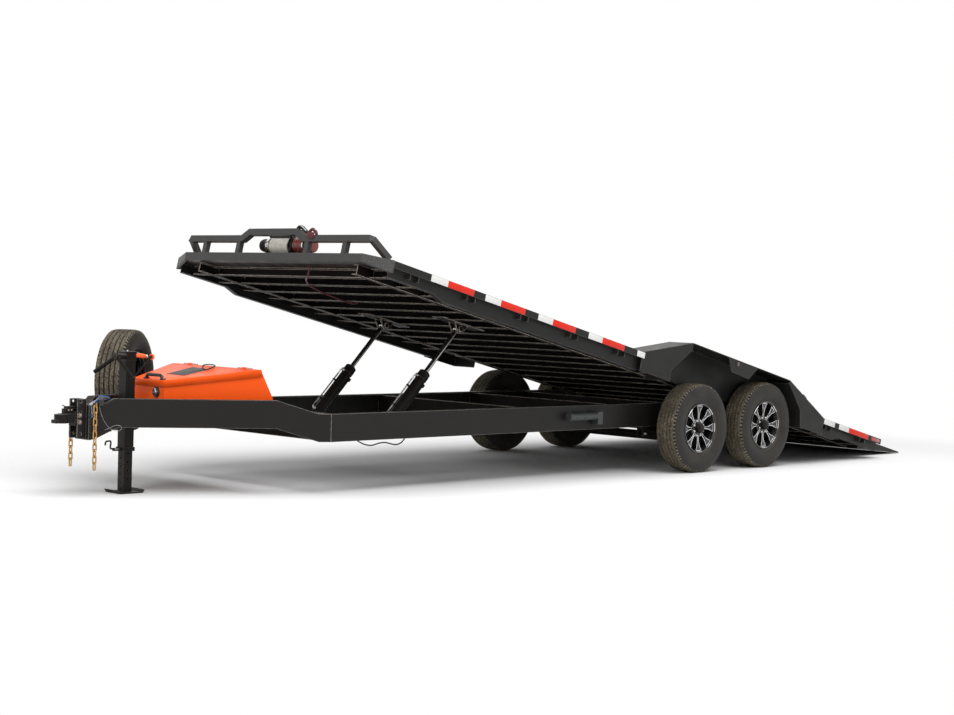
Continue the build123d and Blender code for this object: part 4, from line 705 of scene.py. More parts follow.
# %% Piece: gathering shapes and finishing the object
class Piece:
    """Shapes gathered in one mesh, each with its own finish, that ride on a body together."""

    def __init__(self, name, body, slot, place=Matrix()):
        self.name, self.body, self.slot, self.place = name, body, slot, place
        self.bm, self.finishes = bmesh.new(), []

    def take(self, shape, finish, at=Matrix()):
        """Moves a shape into this piece, with its faces outwards and in the finish given."""
        if finish not in self.finishes:
            self.finishes.append(finish)
        shape.transform(self.place @ at)
        bmesh.ops.recalc_face_normals(shape, faces=shape.faces)
        for face in shape.faces:
            face.material_index = self.finishes.index(finish)
        holder = bpy.data.meshes.new("holder")
        shape.to_mesh(holder)
        shape.free()
        self.bm.from_mesh(holder)
        bpy.data.meshes.remove(holder)

    def done(self, *nodes, smooth=32.0):
        """Makes the object, lets it ride on its body, and hides the CAD parts it stands for."""
        mesh = bpy.data.meshes.new(self.name)
        self.bm.to_mesh(mesh)
        self.bm.free()
        for finish in self.finishes:
            mesh.materials.append(finish)
        for polygon in mesh.polygons:
            polygon.use_smooth = True
        mesh.set_sharp_from_angle(angle=math.radians(smooth))
        made = bpy.data.objects.new(self.name, mesh)
        scene.collection.objects.link(made)
        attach(made, self.body)
        if nodes:
            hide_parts(*nodes)
        print(self.name, len(mesh.polygons), "faces")
        return made

    # The kinds of shape follow as methods.
    def block(self, low, high, finish, bevel=0.003, at=Matrix()):
        """A box between two corners with rounded edges."""
        low, high = Vector(low), Vector(high)
        shape = bmesh.new()
        place = Matrix.Translation((low + high) / 2) @ Matrix.Diagonal((*(high - low), 1))
        bmesh.ops.create_cube(shape, size=1.0, matrix=place)
        soften(shape, shape.edges[:], bevel)
        self.take(shape, finish, at)

    def plate(self, outline, low, high, finish, bevel=0.002, at=Matrix()):
        """A flat plate: an outline in local X and Y, from one local Z to another."""
        shape = bmesh.new()
        face = shape.faces.new([shape.verts.new((x, y, low)) for x, y in outline])
        pushed = bmesh.ops.extrude_face_region(shape, geom=[face])
        bmesh.ops.translate(shape, verts=verts_in(pushed["geom"]), vec=(0, 0, high - low))
        soften(shape, shape.edges[:], bevel)
        self.take(shape, finish, at)

    def turned(self, profile, finish, at=Matrix(), steps=40):
        """A turned part: pairs of radius and local Z, spun about local Z."""
        self.take(spun(to_axis(profile), steps), finish, at)

    def rod(self, start, end, radius, finish, chamfer=0.0015, steps=28, at=Matrix()):
        """A round bar with chamfered ends."""
        length = (Vector(end) - Vector(start)).length
        slim = radius - chamfer
        profile = [(slim, 0), (radius, chamfer), (radius, length - chamfer), (slim, length)]
        self.turned(profile, finish, at @ along(start, end), steps)

    def bolt(self, spot, facing, width, finish, washer=True, at=Matrix()):
        """A hexagon head on its washer, its shank's end just showing where it is a nut."""
        place = at @ along(spot, Vector(spot) + Vector(facing))
        shape = bmesh.new()
        bmesh.ops.create_cone(shape, cap_ends=True, segments=6, radius1=width / 2, radius2=width / 2,
                              depth=width * 0.42, matrix=moved(z=width * 0.3))
        soften(shape, shape.edges[:], width * 0.035)
        self.take(shape, finish, place)
        r, t = width * (0.66 if washer else 0.5), width * 0.09
        self.turned([(r, 0), (r, t * 0.8), (r * 0.97, t)], finish, place, 24)
        r = width * 0.27
        self.turned([(r, width * 0.5), (r, width * 0.62), (r * 0.8, width * 0.68)], finish, place, 16)

    def bent(self, points, radius, finish, bend=0.02, steps=12, at=Matrix()):
        """Wire or tube through corner points, each corner rounded."""
        self.take(swept(rounded_line(points, bend), radius, steps), finish, at)


# %% Bevels and turned shapes
def soften(shape, edges, bevel, segments=2):
    """Rounds edges."""
    bmesh.ops.bevel(shape, geom=edges, offset=bevel, offset_type="OFFSET", affect="EDGES",
                    segments=segments, profile=0.5, material=-1)


def to_axis(profile):
    """Takes a profile's ends to the axis, unless it comes back to its start, as a ring's does."""
    if profile[0] == profile[-1]:
        return profile
    start, end = ([(0, z)] if radius else [] for radius, z in (profile[0], profile[-1]))
    return start + profile + end


def spun(profile, steps):
    """A full spin of a profile about local Z."""
    shape = bmesh.new()
    verts = [shape.verts.new((radius, 0, z)) for radius, z in profile]
    edges = [shape.edges.new(pair) for pair in zip(verts, verts[1:])]
    bmesh.ops.spin(shape, geom=verts + edges, cent=(0, 0, 0), axis=(0, 0, 1), dvec=(0, 0, 0),
                   angle=2 * math.pi, steps=steps, use_merge=True, use_duplicate=False)
    bmesh.ops.remove_doubles(shape, verts=shape.verts, dist=1e-6)
    return shape


# %% [markdown]
# ### Bent bars
# A wire or tube is bent round corners, so its line is first rounded there.
# Then a circle is extruded along it from point to point. Each time the circle turns only as far as the
# line does, which keeps the bar free of twist.

# %% Bent bars
def rounded_line(points, bend, parts=6):
    """The corner points with each inner corner replaced by a short curve."""
    points = [Vector(p) for p in points]
    line = [points[0]]
    for before, corner, after in zip(points, points[1:], points[2:]):
        into, out = before - corner, after - corner
        cut = min(bend, into.length * 0.48, out.length * 0.48)
        start, end = corner + into.normalized() * cut, corner + out.normalized() * cut
        hold_in, hold_out = start.lerp(corner, 0.6), end.lerp(corner, 0.6)
        line += interpolate_bezier(start, hold_in, hold_out, end, parts)
    line.append(points[-1])
    return line


def ring_places(line):
    """A matrix for each point, with local Z along the line and no more turn than the line has."""
    heading = side = None
    for number, spot in enumerate(line):
        before, ahead = heading, line[min(number + 1, len(line) - 1)]
        heading = (ahead - line[max(number - 1, 0)]).normalized()
        side = heading.orthogonal() if side is None else before.rotation_difference(heading) @ side
        side = (side - heading * side.dot(heading)).normalized()
        place = Matrix((side, heading.cross(side), heading)).transposed().to_4x4()
        place.translation = spot
        yield place


def swept(line, radius, steps):
    """A round bar: its end circle is extruded from each point to the next, and both ends are closed."""
    shape = bmesh.new()
    places = list(ring_places(line))
    bmesh.ops.create_circle(shape, cap_ends=True, segments=steps, radius=radius,
                            matrix=places[0] @ turn("Z", -90))
    ring = shape.edges[:]
    for place, following in zip(places, places[1:]):
        grown = bmesh.ops.extrude_edge_only(shape, edges=ring)["geom"]
        bmesh.ops.transform(shape, matrix=following @ place.inverted(), verts=verts_in(grown))
        ring = [edge for edge in grown if isinstance(edge, bmesh.types.BMEdge) and edge.is_boundary]
    bmesh.ops.holes_fill(shape, edges=ring, sides=0)
    return shape


print("workshop is ready")

# %% [markdown]
# ## Tyres
# A trailer tyre is a stiff casing with straight grooves between flat ribs, because it only rolls and never
# drives. The tread wraps over a rounded shoulder that is notched all the way round.
# One half section is enough: spun about the axle line it gives half a tyre, and a mirror gives the rest.
# The shoulder notches are then pressed into every second face of one ring.

# %% Tyre section
TYRE_STEPS = 144
tyre_low, tyre_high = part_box("left_front_tyre")
TYRE_RADIUS = (tyre_high.z - tyre_low.z) / 2
TYRE_HALF = (tyre_high.y - tyre_low.y) / 2
RIM_RADIUS = 0.205
GROOVES = (0.020, 0.056)        # the middles of the straight grooves, from the tyre's centre line
GROOVE_HALF, GROOVE_DEPTH = 0.0056, 0.010
TREAD_HALF = TYRE_HALF - 0.024


def groove(middle):
    """The section's points down into one straight groove and out of it."""
    top = TYRE_RADIUS - 0.002 * (middle / TREAD_HALF) ** 2
    near, far = middle - GROOVE_HALF, middle + GROOVE_HALF
    return [
        (top, near - 0.001), (top - 0.0012, near), (top - GROOVE_DEPTH, near + 0.0015),
        (top - GROOVE_DEPTH, far - 0.0015), (top - 0.0012, far), (top, far + 0.001),
    ]


def side_wall():
    """The points of the bulging wall, from under the shoulder to the bead."""
    start, end = (TYRE_RADIUS - 0.042, TYRE_HALF - 0.008), (RIM_RADIUS + 0.018, TYRE_HALF - 0.031)
    hold_start, hold_end = (TYRE_RADIUS - 0.085, TYRE_HALF + 0.0035), (RIM_RADIUS + 0.055, TYRE_HALF - 0.001)
    corners = (Vector((*corner, 0)) for corner in (start, hold_start, hold_end, end))
    return [(p.x, p.y) for p in interpolate_bezier(*corners, 15)]


def tyre_section():
    """Radius and distance from the centre line, from the tread's middle out, down to the bead and back."""
    shoulder, bead = TYRE_RADIUS - 0.004, TYRE_HALF - 0.031
    return [
        (TYRE_RADIUS, 0.0), *groove(GROOVES[0]), *groove(GROOVES[1]),
        (shoulder, TREAD_HALF - 0.012), (shoulder - 0.002, TREAD_HALF - 0.004),
        (shoulder - 0.016, TREAD_HALF + 0.007), (shoulder - 0.034, TREAD_HALF + 0.014),
        *side_wall(),
        (RIM_RADIUS + 0.016, bead + 0.001), (RIM_RADIUS + 0.011, bead - 0.001),
        (RIM_RADIUS + 0.001, bead - 0.004), (RIM_RADIUS - 0.002, bead - 0.012),
        (RIM_RADIUS + 0.008, bead - 0.028), (TYRE_RADIUS - 0.11, TYRE_HALF - 0.026),
        (TYRE_RADIUS - 0.03, TREAD_HALF - 0.02), (TYRE_RADIUS - 0.026, 0.0),
    ]


# %% [markdown]
# ### Rib, bead line and notches
# A raised line runs round the side wall near its widest place and another one guards the rim.
# Both are moved rings of the same section. The notches are cut by pushing inset faces inwards.

# %% Shoulder notches
NOTCH_RING = TREAD_HALF + 0.0015        # how far out the notched ring of faces lies
NOTCH_BORDER, NOTCH_DEPTH = 0.0016, 0.007


def is_notched(centre):
    """Whether a face's middle lies on the notched ring, in every second step round it."""
    under_tread = TYRE_RADIUS - math.hypot(centre.x, centre.y)
    if abs(centre.z - NOTCH_RING) >= 0.0045 or not 0.006 < under_tread < 0.022:
        return False
    step = math.degrees(math.atan2(centre.y, centre.x)) / (360 / TYRE_STEPS)
    return int(round(step - 0.5)) % 2 == 0


def cut_notches(shape):
    """Insets every second face of the shoulder's ring and pushes it inwards."""
    for face in [face for face in shape.faces if is_notched(face.calc_center_median())]:
        bmesh.ops.inset_individual(shape, faces=[face], thickness=NOTCH_BORDER, depth=0.0)
        inward = -face.normal if face.normal.dot(face.calc_center_median()) > 0 else face.normal
        bmesh.ops.translate(shape, verts=face.verts[:], vec=inward * NOTCH_DEPTH)


# %% Tyre mesh
WALL_LINES = ((0.318, 0.0014), (0.245, 0.0016))     # radius of each raised line, and how proud it is


def tyre_mesh():
    """A whole tyre about local Z, inside included."""
    shape = spun(tyre_section(), TYRE_STEPS)
    cut_notches(shape)
    for vert in shape.verts:
        radius = math.hypot(vert.co.x, vert.co.y)
        for line, rise in WALL_LINES:
            if abs(radius - line) < 0.0065 and vert.co.z > TYRE_HALF - 0.03:
                vert.co.z += rise
    bmesh.ops.mirror(shape, geom=shape.verts[:] + shape.edges[:] + shape.faces[:], matrix=Matrix(),
                     merge_dist=1e-5, axis="Z")
    bmesh.ops.remove_doubles(shape, verts=shape.verts, dist=1e-5)
    return shape


# %% [markdown]
# ### Dust and painted shade on the tread
# The ribs are brown where they touch the road, the grooves are painted dark as shade, and the shoulder's blocks
# are rubbed pale. Those zones are rings of the mesh, so each ring of faces gets its own rubber.

# %% Tread zones
def tread_zone(centre, area):
    """Which of rib, groove and shoulder block a face belongs to, or None on the wall."""
    radius, out = math.hypot(centre.x, centre.y), abs(centre.z)
    if radius < TYRE_RADIUS - 0.022 or out > TREAD_HALF + 0.009:
        return None
    if out > TREAD_HALF - 0.003:
        return "shoulder" if radius > TYRE_RADIUS - 0.0165 and area > 1e-4 else "groove"
    return "rib" if radius > TYRE_RADIUS - 0.0065 else "groove"


def colour_tread(piece):
    """Gives the ribs, grooves and shoulder blocks of the tyre in this piece their own rubber."""
    index = {zone: len(piece.finishes) + n for n, zone in enumerate(("rib", "groove", "shoulder"))}
    piece.finishes += [tread_rubber, groove_shade_rubber, shoulder_rubber]
    home = piece.place.inverted()
    for face in piece.bm.faces:
        zone = tread_zone(home @ face.calc_center_median(), face.calc_area())
        if zone:
            face.material_index = index[zone]


# %% [markdown]
# ## Wheels
# Each wheel is a cast alloy: eight spokes that start narrow at the hub and widen to the rim, gloss black,
# with a bright line cut on a lathe round each spoke's outer face and along the rim at its end.
# So a spoke is a black plate, and its bright line is the border that is left when a second plate of the
# same outline is inset and loses its middle.
# Behind the spokes sit the deep barrel and the brake drum, which the gaps let you see.

# %% Rim barrel
RIM_HALF = 0.0915


def rim_profile():
    """The barrel from the outer lip to the inner one, then back along its inside."""
    r, h = RIM_RADIUS, RIM_HALF
    return [
        (r + 0.0115, h - 0.004), (r + 0.0125, h - 0.001), (r + 0.011, h), (r + 0.003, h),
        (r - 0.0005, h - 0.002), (r - 0.003, h - 0.007), (r - 0.0055, h - 0.02),
        (r - 0.012, h - 0.034), (r - 0.021, h - 0.06),
        (r - 0.024, h - 0.1), (r - 0.016, -h + 0.02), (r - 0.010, -h + 0.008), (r + 0.004, -h), (r + 0.012, -h),
        (r + 0.012, -h + 0.006), (r - 0.001, -h + 0.008), (r - 0.004, -h + 0.03), (r - 0.018, -0.02),
        (r - 0.008, h - 0.04), (r - 0.001, h - 0.012), (r + 0.0095, h - 0.008), (r + 0.0115, h - 0.004),
    ]


# %% The plate that spokes are made from
SPOKES = 8
FACE_Z = RIM_HALF - 0.026       # the spokes' outer face, near the hub
SPOKE_DEPTH = 0.024
SPOKE_PLAN = ((0.060, 0.0115), (0.105, 0.0115), (0.150, 0.019), (0.1965, 0.039))


def spoke_shape():
    """One spoke as a plate that flares to the rim. Returns the shape and its outer face."""
    shape = bmesh.new()
    end_radius = math.hypot(*SPOKE_PLAN[-1])
    swing = math.asin(SPOKE_PLAN[-1][1] / end_radius)
    arc = [(end_radius * math.cos(a), end_radius * math.sin(a)) for a in (swing / 2, 0.0, -swing / 2)]
    outline = [*SPOKE_PLAN, *arc, *((x, -y) for x, y in reversed(SPOKE_PLAN))]
    top = shape.faces.new([shape.verts.new((x, y, 0)) for x, y in outline])
    base = bmesh.ops.extrude_face_region(shape, geom=[top])
    bmesh.ops.translate(shape, verts=verts_in(base["geom"]), vec=(0, 0, -SPOKE_DEPTH))
    top.normal_update()
    return shape, top


def dish(shape, lift=0.0):
    """Lifts a shape, and more so towards the rim, because the wheel's face is hollow."""
    for vert in shape.verts:
        vert.co.z += lift + 0.012 * max(0.0, (vert.co.x - 0.07) / 0.12) ** 2


# %% Spokes
LINE_INSET, LINE_WIDTH, LINE_PROUD = 0.0022, 0.0047, 0.0012


def black_spoke():
    """The cast spoke with a chamfered outer face."""
    shape, top = spoke_shape()
    bmesh.ops.inset_individual(shape, faces=[top], thickness=0.0018, depth=0.0)
    bmesh.ops.translate(shape, verts=top.verts[:], vec=(0, 0, 0.0012))
    dish(shape)
    return shape


def bright_line():
    """The machined border of a spoke's outer face, a little inside its edge."""
    shape, _ = spoke_shape()
    below = [face for face in shape.faces if face.calc_center_median().z < -0.001]
    bmesh.ops.delete(shape, geom=below, context="FACES")
    window = shape.faces[:][0]
    middle = window.calc_center_median()
    for vert in window.verts:
        vert.co.x += LINE_INSET * (1 if vert.co.x < middle.x else -1)
        vert.co.y *= 1 - LINE_INSET / max(abs(vert.co.y), 0.006)
    bmesh.ops.inset_individual(shape, faces=[window], thickness=LINE_WIDTH, depth=0.0)
    bmesh.ops.delete(shape, geom=[window], context="FACES_ONLY")
    bmesh.ops.solidify(shape, geom=shape.faces[:], thickness=LINE_PROUD)
    dish(shape, 0.0018)
    return shape


def add_spokes(piece):
    """Eight spokes, each with its bright line and a bright arc along the rim at its end."""
    for number in range(SPOKES):
        lift = moved(z=FACE_Z) @ turn("Z", number * 360 / SPOKES)
        piece.take(black_spoke(), wheel_black, lift)
        piece.take(bright_line(), machined, lift)
    r = RIM_RADIUS + 0.0015
    for number in range(SPOKES):
        angles = [number * 2 * math.pi / SPOKES + step * 0.063 for step in range(-3, 4)]
        arc = [(r * math.cos(a), r * math.sin(a), RIM_HALF - 0.0015) for a in angles]
        piece.bent(arc, 0.0032, machined, bend=0.02, steps=3)


# %% Hub, drum and valve
LUG_CIRCLE = 0.066


def add_hub(piece):
    """The hub's face, its cap, and eight lug nuts in their seats."""
    z = FACE_Z
    piece.turned([(0.086, z - 0.03), (0.088, z - 0.026), (0.086, z - 0.008), (0.080, z - 0.001),
                  (0.062, z + 0.002), (0.05, z + 0.001)], wheel_black, steps=64)
    piece.turned([(0.043, z), (0.043, z + 0.030), (0.041, z + 0.036), (0.036, z + 0.040),
                  (0.018, z + 0.043), (0.0, z + 0.0435)], jack_black, steps=48)
    for number in range(8):
        angle = (number + 0.5) * math.pi / 4
        seat = Vector((LUG_CIRCLE * math.cos(angle), LUG_CIRCLE * math.sin(angle), z))
        ring = spun([(0.0155, 0), (0.0155, 0.002), (0.0135, 0.0028), (0, 0.0028)], 20)     # open underneath
        piece.take(ring, wheel_black, moved(*seat))
        piece.bolt(seat + Vector((0, 0, 0.001)), (0, 0, 1), 0.021, chrome, washer=False)


def add_drum(piece):
    """The brake drum and its backing plate behind the spokes."""
    piece.turned([(0.150, 0.03), (0.160, 0.024), (0.163, 0.012), (0.163, -0.035), (0.166, -0.037),
                  (0.166, -0.045)], running_gear, steps=72)


def add_valve(piece):
    """The valve's stem, which slants in from the barrel."""
    start = Vector((RIM_RADIUS - 0.018, 0.012, RIM_HALF - 0.035))
    piece.rod(start, start + Vector((-0.020, 0, 0.022)), 0.0042, black_plastic)


# %% Fit tyres and wheels
def fit_wheel(body, stem, outward):
    """Replaces one CAD tyre and its wheel, with local Z out of the wheel's outer face."""
    low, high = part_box(f"{stem}_tyre")
    middle = (low + high) / 2
    place = along(middle, middle + Vector(outward))
    tyre = Piece(f"{stem}_tyre_rubber", body, "tyre", place)
    tyre.take(tyre_mesh(), tyre_rubber)
    colour_tread(tyre)
    tyre.done(f"{stem}_tyre", smooth=40)
    wheel = Piece(f"{stem}_wheel_alloy", body, "wheel_black", place)
    wheel.take(spun(rim_profile(), 96), wheel_black)
    add_spokes(wheel)
    add_hub(wheel)
    add_valve(wheel)
    if stem != "spare":
        add_drum(wheel)
    wheel.done(f"{stem}_wheel", smooth=34)


for side, prefix in ((1, "left"), (-1, "right")):
    for end in ("front", "rear"):
        fit_wheel(f"{prefix}_{end}_wheel", f"{prefix}_{end}", (0, side, 0))
fit_wheel("chassis", "spare", (0.5736, -0.8192, 0))

# %% [markdown]
# ## Floor boards
# The floor is rough-sawn boards laid along the deck in three fields: in front of the fenders, between them
# and behind them. Real boards have their own small errors: a gap here, a proud edge there, a rounded corner.
# Each board is a bevelled block with its own random shift, and two planes cut the front corners off.

# %% Boards
FIELDS = (                      # from, to, half width, boards
    (4.6405, 7.6075, 1.2376, 13),
    (1.8308, 4.6394, 1.0294, 11),
    (0.7806, 1.8298, 1.2376, 13),
)
BOARD_THICK = 0.0375
CORNER_CUT = (7.569, 1.237, 7.605, 1.156)       # the chamfer's two ends on the left side, length and distance

dice = random.Random(7)
boards = Piece("floor_boards", "deck", "deck_wood", DECK)
boards.bm.verts.layers.float_vector.new("board_shift")


def cut_corner(shape, side):
    """Cuts a board along the deck's front chamfer."""
    s0, y0, s1, y1 = CORNER_CUT
    outward = Vector((y0 - y1, side * (s1 - s0), 0)).normalized()
    bmesh.ops.bisect_plane(shape, geom=shape.verts[:] + shape.edges[:] + shape.faces[:], dist=1e-6,
                           plane_co=(s0, side * y0, 0), plane_no=outward, clear_outer=True)
    open_edges = [edge for edge in shape.edges if len(edge.link_faces) == 1]
    if open_edges:
        bmesh.ops.holes_fill(shape, edges=open_edges, sides=0)


for start, end, half, count in FIELDS:
    pitch = 2 * half / count
    for number in range(count):
        y = -half + (number + 0.5) * pitch
        shape = bmesh.new()
        lift, sag = dice.uniform(-0.0014, 0.0), dice.uniform(0.0, 0.0015)
        size = Vector((end - start - sag, pitch - dice.uniform(0.002, 0.0055), BOARD_THICK - 0.002))
        middle = Vector(((start + end) / 2, y, lift - BOARD_THICK / 2 + 0.0005))
        bmesh.ops.create_cube(shape, size=1.0, matrix=Matrix.Translation(middle) @ Matrix.Diagonal((*size, 1)))
        soften(shape, shape.edges[:], 0.003)
        if end > CORNER_CUT[0]:
            cut_corner(shape, 1)
            cut_corner(shape, -1)
        shift = Vector((dice.uniform(-9, 9), dice.uniform(-5, 5), dice.random()))
        layer = shape.verts.layers.float_vector.new("board_shift")
        for vert in shape.verts:
            vert[layer] = shift
        boards.take(shape, board_timber)
boards.done("deck_floor")

# %% [markdown]
# ### Board screws
# Two sunk screws hold every board to every crossmember. They are small and there are hundreds of them, so
# one low dome with a dimple is enough for each.

# %% Screws
FRONT_ROW, ROW_PITCH, LAST_ROW = 7.458, 0.27, 0.9
SCREW_SUNK, SCREW_STRAY = -0.0012, 0.006
SCREW = [(0.0062, 0), (0.0058, 0.0011), (0.0025, 0.0013), (0.0015, 0.0004)]

screws = Piece("board_screws", "deck", "zinc_steel", DECK)
rows = [FRONT_ROW - ROW_PITCH * k for k in range(25) if FRONT_ROW - ROW_PITCH * k > LAST_ROW]
for start, end, half, count in FIELDS:
    pitch = 2 * half / count
    for s in [row for row in rows if start + 0.03 < row < end - 0.03]:
        for number in range(count):
            for aside in (-0.3, 0.3):
                y = -half + (number + 0.5 + aside) * pitch
                if s > 7.35 and abs(y) > 0.95:      # the chamfered corners have none
                    continue
                stray = [dice.uniform(-SCREW_STRAY, SCREW_STRAY) for _ in range(2)]
                screws.turned(SCREW, zinc_gold, moved(s + stray[0], y + stray[1], SCREW_SUNK), 10)
screws.done()

# %% [markdown]
# ## Tape, lamps and the small things along the deck's edge
# Conspicuity tape is stuck on the rub bars in lengths between the stake pockets, white first, then red.
# It stands a millimetre proud, which is enough for its edge to catch light. A red lamp closes the row.

# %% Tape
EDGE_Y = 1.2955
TAPE_LOW, TAPE_HIGH = -0.0505, -0.0015
STRIPS = (                      # from, to along the deck, and the colour
    (7.007, 7.187, tape_white), (6.722, 7.007, tape_red), (6.419, 6.595, tape_white), (6.135, 6.419, tape_red),
    (5.803, 5.980, tape_white), (5.520, 5.803, tape_red), (5.177, 5.355, tape_white), (4.887, 5.177, tape_red),
    (4.610, 4.713, tape_white), (1.630, 1.817, tape_white), (1.377, 1.554, tape_white),
    (1.016, 1.377, tape_red),
)

tapes = Piece("edge_tapes", "deck", "black_plastic", DECK)
for start, end, finish in STRIPS:
    for side in (1, -1):
        y0, y1 = sorted((side * (EDGE_Y - 0.0005), side * (EDGE_Y + 0.0009)))
        tapes.block((start, y0, TAPE_LOW), (end, y1, TAPE_HIGH), finish, bevel=0.0004)
tapes.done()


# %% Marker lamps
def marker_lamp(piece, at, length, height, depth, glass):
    """A lamp facing local +Z: a black base, a rounded lens, and two screws."""
    half, tall = length / 2, height / 2
    base = [(-half - 0.008, -tall - 0.004), (half + 0.008, -tall - 0.004),
            (half + 0.008, tall + 0.004), (-half - 0.008, tall + 0.004)]
    piece.plate(base, 0, 0.006, black_plastic, 0.002, at)
    piece.block((-half, -tall, 0.004), (half, tall, depth), glass, depth * 0.34, at)
    for end in (1, -1):
        piece.turned([(0.0035, 0.006), (0.003, 0.0078), (0, 0.0082)], bright_steel,
                     at @ moved(end * (half + 0.004)), 12)


def facing_side(s, side, h):
    """Local Z out of the deck's left or right side, local X along the deck."""
    return moved(s, side * EDGE_Y, h) @ turn("X", -side * 90)


lamps = Piece("marker_lamps", "deck", "black_plastic", DECK)
for side in (1, -1):
    marker_lamp(lamps, facing_side(0.885, side, -0.026) @ moved(z=-0.014), 0.15, 0.036, 0.02, lens_red)
lamps.done()

# %% [markdown]
# ## The winch
# An electric winch is three round things in line: a motor, a drum between two cheeks, and a gearbox with
# a clutch. Tie rods join the cheeks. The rope is wound in rows that lie beside each other, and the last row
# wanders, because nobody guides it.
# Everything turned is made about one axis: local Z runs to the left across the deck.

# %% Winch axis and body
WINCH_S, WINCH_H = 7.534, 0.120
WINCH_AXIS = DECK @ moved(WINCH_S, 0, WINCH_H) @ turn("X", -90)

winch = Piece("winch_body", "deck", "black_plastic", WINCH_AXIS)
winch.turned([(0.036, -0.286), (0.047, -0.279), (0.0505, -0.266), (0.0505, -0.196)], jack_black)
winch.turned([(0.0545, -0.200), (0.0565, -0.196), (0.0565, -0.186), (0.053, -0.183)], chrome)
for z in (-0.258, -0.214):
    winch.take(spun([(0.0495, z), (0.0525, z), (0.0525, z + 0.008), (0.0495, z + 0.008)], 40), jack_black)
for angle in range(30, 390, 90):
    winch.rod((0.030, 0, -0.291), (0.030, 0, -0.284), 0.005, bright_steel, at=turn("Z", angle))

# %% Cheeks, tie rods and base
CHEEK = ((-0.058, 0.099), (0.058, 0.099), (0.058, 0.0), (0.044, -0.050), (0.0, -0.073), (-0.044, -0.050),
         (-0.058, 0.0))
for inner, outer, facing in ((-0.158, -0.173, -1), (0.098, 0.1135, 1)):
    winch.plate(CHEEK, min(inner, outer), max(inner, outer), jack_black, 0.003)
    for x, y in ((-0.046, 0.082), (0.046, 0.082), (0.048, 0.02), (-0.048, 0.02)):
        winch.bolt((x, y, outer), (0, 0, facing), 0.014, bright_steel)
for x, y in ((0.05, -0.058), (-0.05, -0.058), (-0.05, 0.075)):
    winch.rod((x, y, -0.16), (x, y, 0.10), 0.0085, jack_black)
winch.block((-0.066, 0.1, -0.272), (0.08, 0.1185, 0.315), frame_black, 0.002)
for x in (-0.05, 0.062):
    for z in (-0.22, -0.08, 0.07, 0.25):
        winch.bolt((x, 0.1, z), (0, -1, 0), 0.017, bright_steel)

# %% Gearbox with its ribs, ring and end cap
winch.turned([(0.066, 0.111), (0.069, 0.118), (0.060, 0.142)], jack_black, steps=64)
ribs = [(0.060, 0.138), (0.064, 0.143)]
for number in range(5):
    z = 0.146 + number * 0.0165
    ribs += [(0.0655, z), (0.0655, z + 0.0085), (0.0600, z + 0.0105), (0.0600, z + 0.0145)]
ribs += [(0.064, 0.229), (0.0655, 0.235), (0.058, 0.238)]
winch.turned(ribs, gear_red, steps=64)
winch.turned([(0.0592, 0.236), (0.0592, 0.247), (0.0565, 0.249), (0.0565, 0.288), (0.050, 0.294)], jack_black)
winch.turned([(0.0495, 0.292), (0.0515, 0.297), (0.0515, 0.316), (0.045, 0.323), (0.02, 0.326)], gear_red)
for number in range(16):
    winch.block((0.049, -0.0022, 0.299), (0.0535, 0.0022, 0.315), gear_red, 0.001, turn("Z", number * 22.5))
winch.plate([(-0.058, 0.099), (0.058, 0.099), (0.05, 0.03), (-0.05, 0.03)], 0.2035, 0.219, jack_black, 0.002)
winch.done("winch")

# %% Clutch knob
lever = Piece("winch_lever", "deck", "bare_steel", WINCH_AXIS)
lever.turned([(0.0605, 0.240), (0.062, 0.242), (0.062, 0.252), (0.0605, 0.254)], chrome, steps=64)
lever.rod((0.0, -0.05, 0.266), (-0.004, -0.085, 0.266), 0.007, chrome)
knob = [(0, 0), (0.012, 0.001), (0.0135, 0.006), (0.0135, 0.020), (0.010, 0.026), (0, 0.027)]
lever.turned(knob, gear_red, along((-0.004, -0.078, 0.266), (-0.004, -0.1, 0.266)), 20)
lever.done()

# %% [markdown]
# ### The hook
# When the winch rests, its hook is laid over the bump rail where the rail slopes down, and its pull strap
# hangs over the lower part. A forged hook swells in its bend, so it is a bent rod, with a thin chrome rod laid
# along its top that paints the highlight running along it.

# %% Hook on the bump rail
HOOK_S = 7.648                  # along the deck, where the bump rail lies


def on_rail(places, ahead=0.0):
    """Points over the bump rail from pairs of distance to the left and height."""
    return [(HOOK_S + ahead, y, h) for y, h in places]


hook = Piece("winch_hook", "deck", "bare_steel", DECK)
shank = [(0.236, 0.222), (0.250, 0.236), (0.285, 0.234), (0.330, 0.204), (0.372, 0.184)]
hook.bent(on_rail(shank), 0.0155, jack_black, steps=10)
# a thin chrome rod along the hook's top: the painted highlight on the hook
hook.bent(on_rail([(0.272, 0.246), (0.300, 0.234), (0.352, 0.202)], 0.013), 0.0052, chrome, steps=6)
eye = [(0, 0), (0.017, 0.002), (0.019, 0.008), (0.017, 0.022), (0, 0.024)]
hook.turned(eye, jack_black, along(*on_rail([(0.368, 0.186), (0.5, 0.174)])), 28)

# %% Its pull strap
STRAP = ((0.380, 0.180), (0.400, 0.206), (0.422, 0.218), (0.440, 0.204), (0.462, 0.196), (0.478, 0.172))
strap = on_rail(STRAP, 0.01)
for start, end in zip(strap, strap[1:]):
    hook.rod(start, end, 0.0115, strap_red)
flap = [(0.0, -0.043), (0.030, -0.043), (0.048, -0.020), (0.052, 0.020), (0.036, 0.043), (0.0, 0.043)]
hook.plate(flap, 0.0, 0.004, strap_red, 0.001, moved(7.6775, 0.432, 0.186) @ turn("Y", 90))
hook.done()

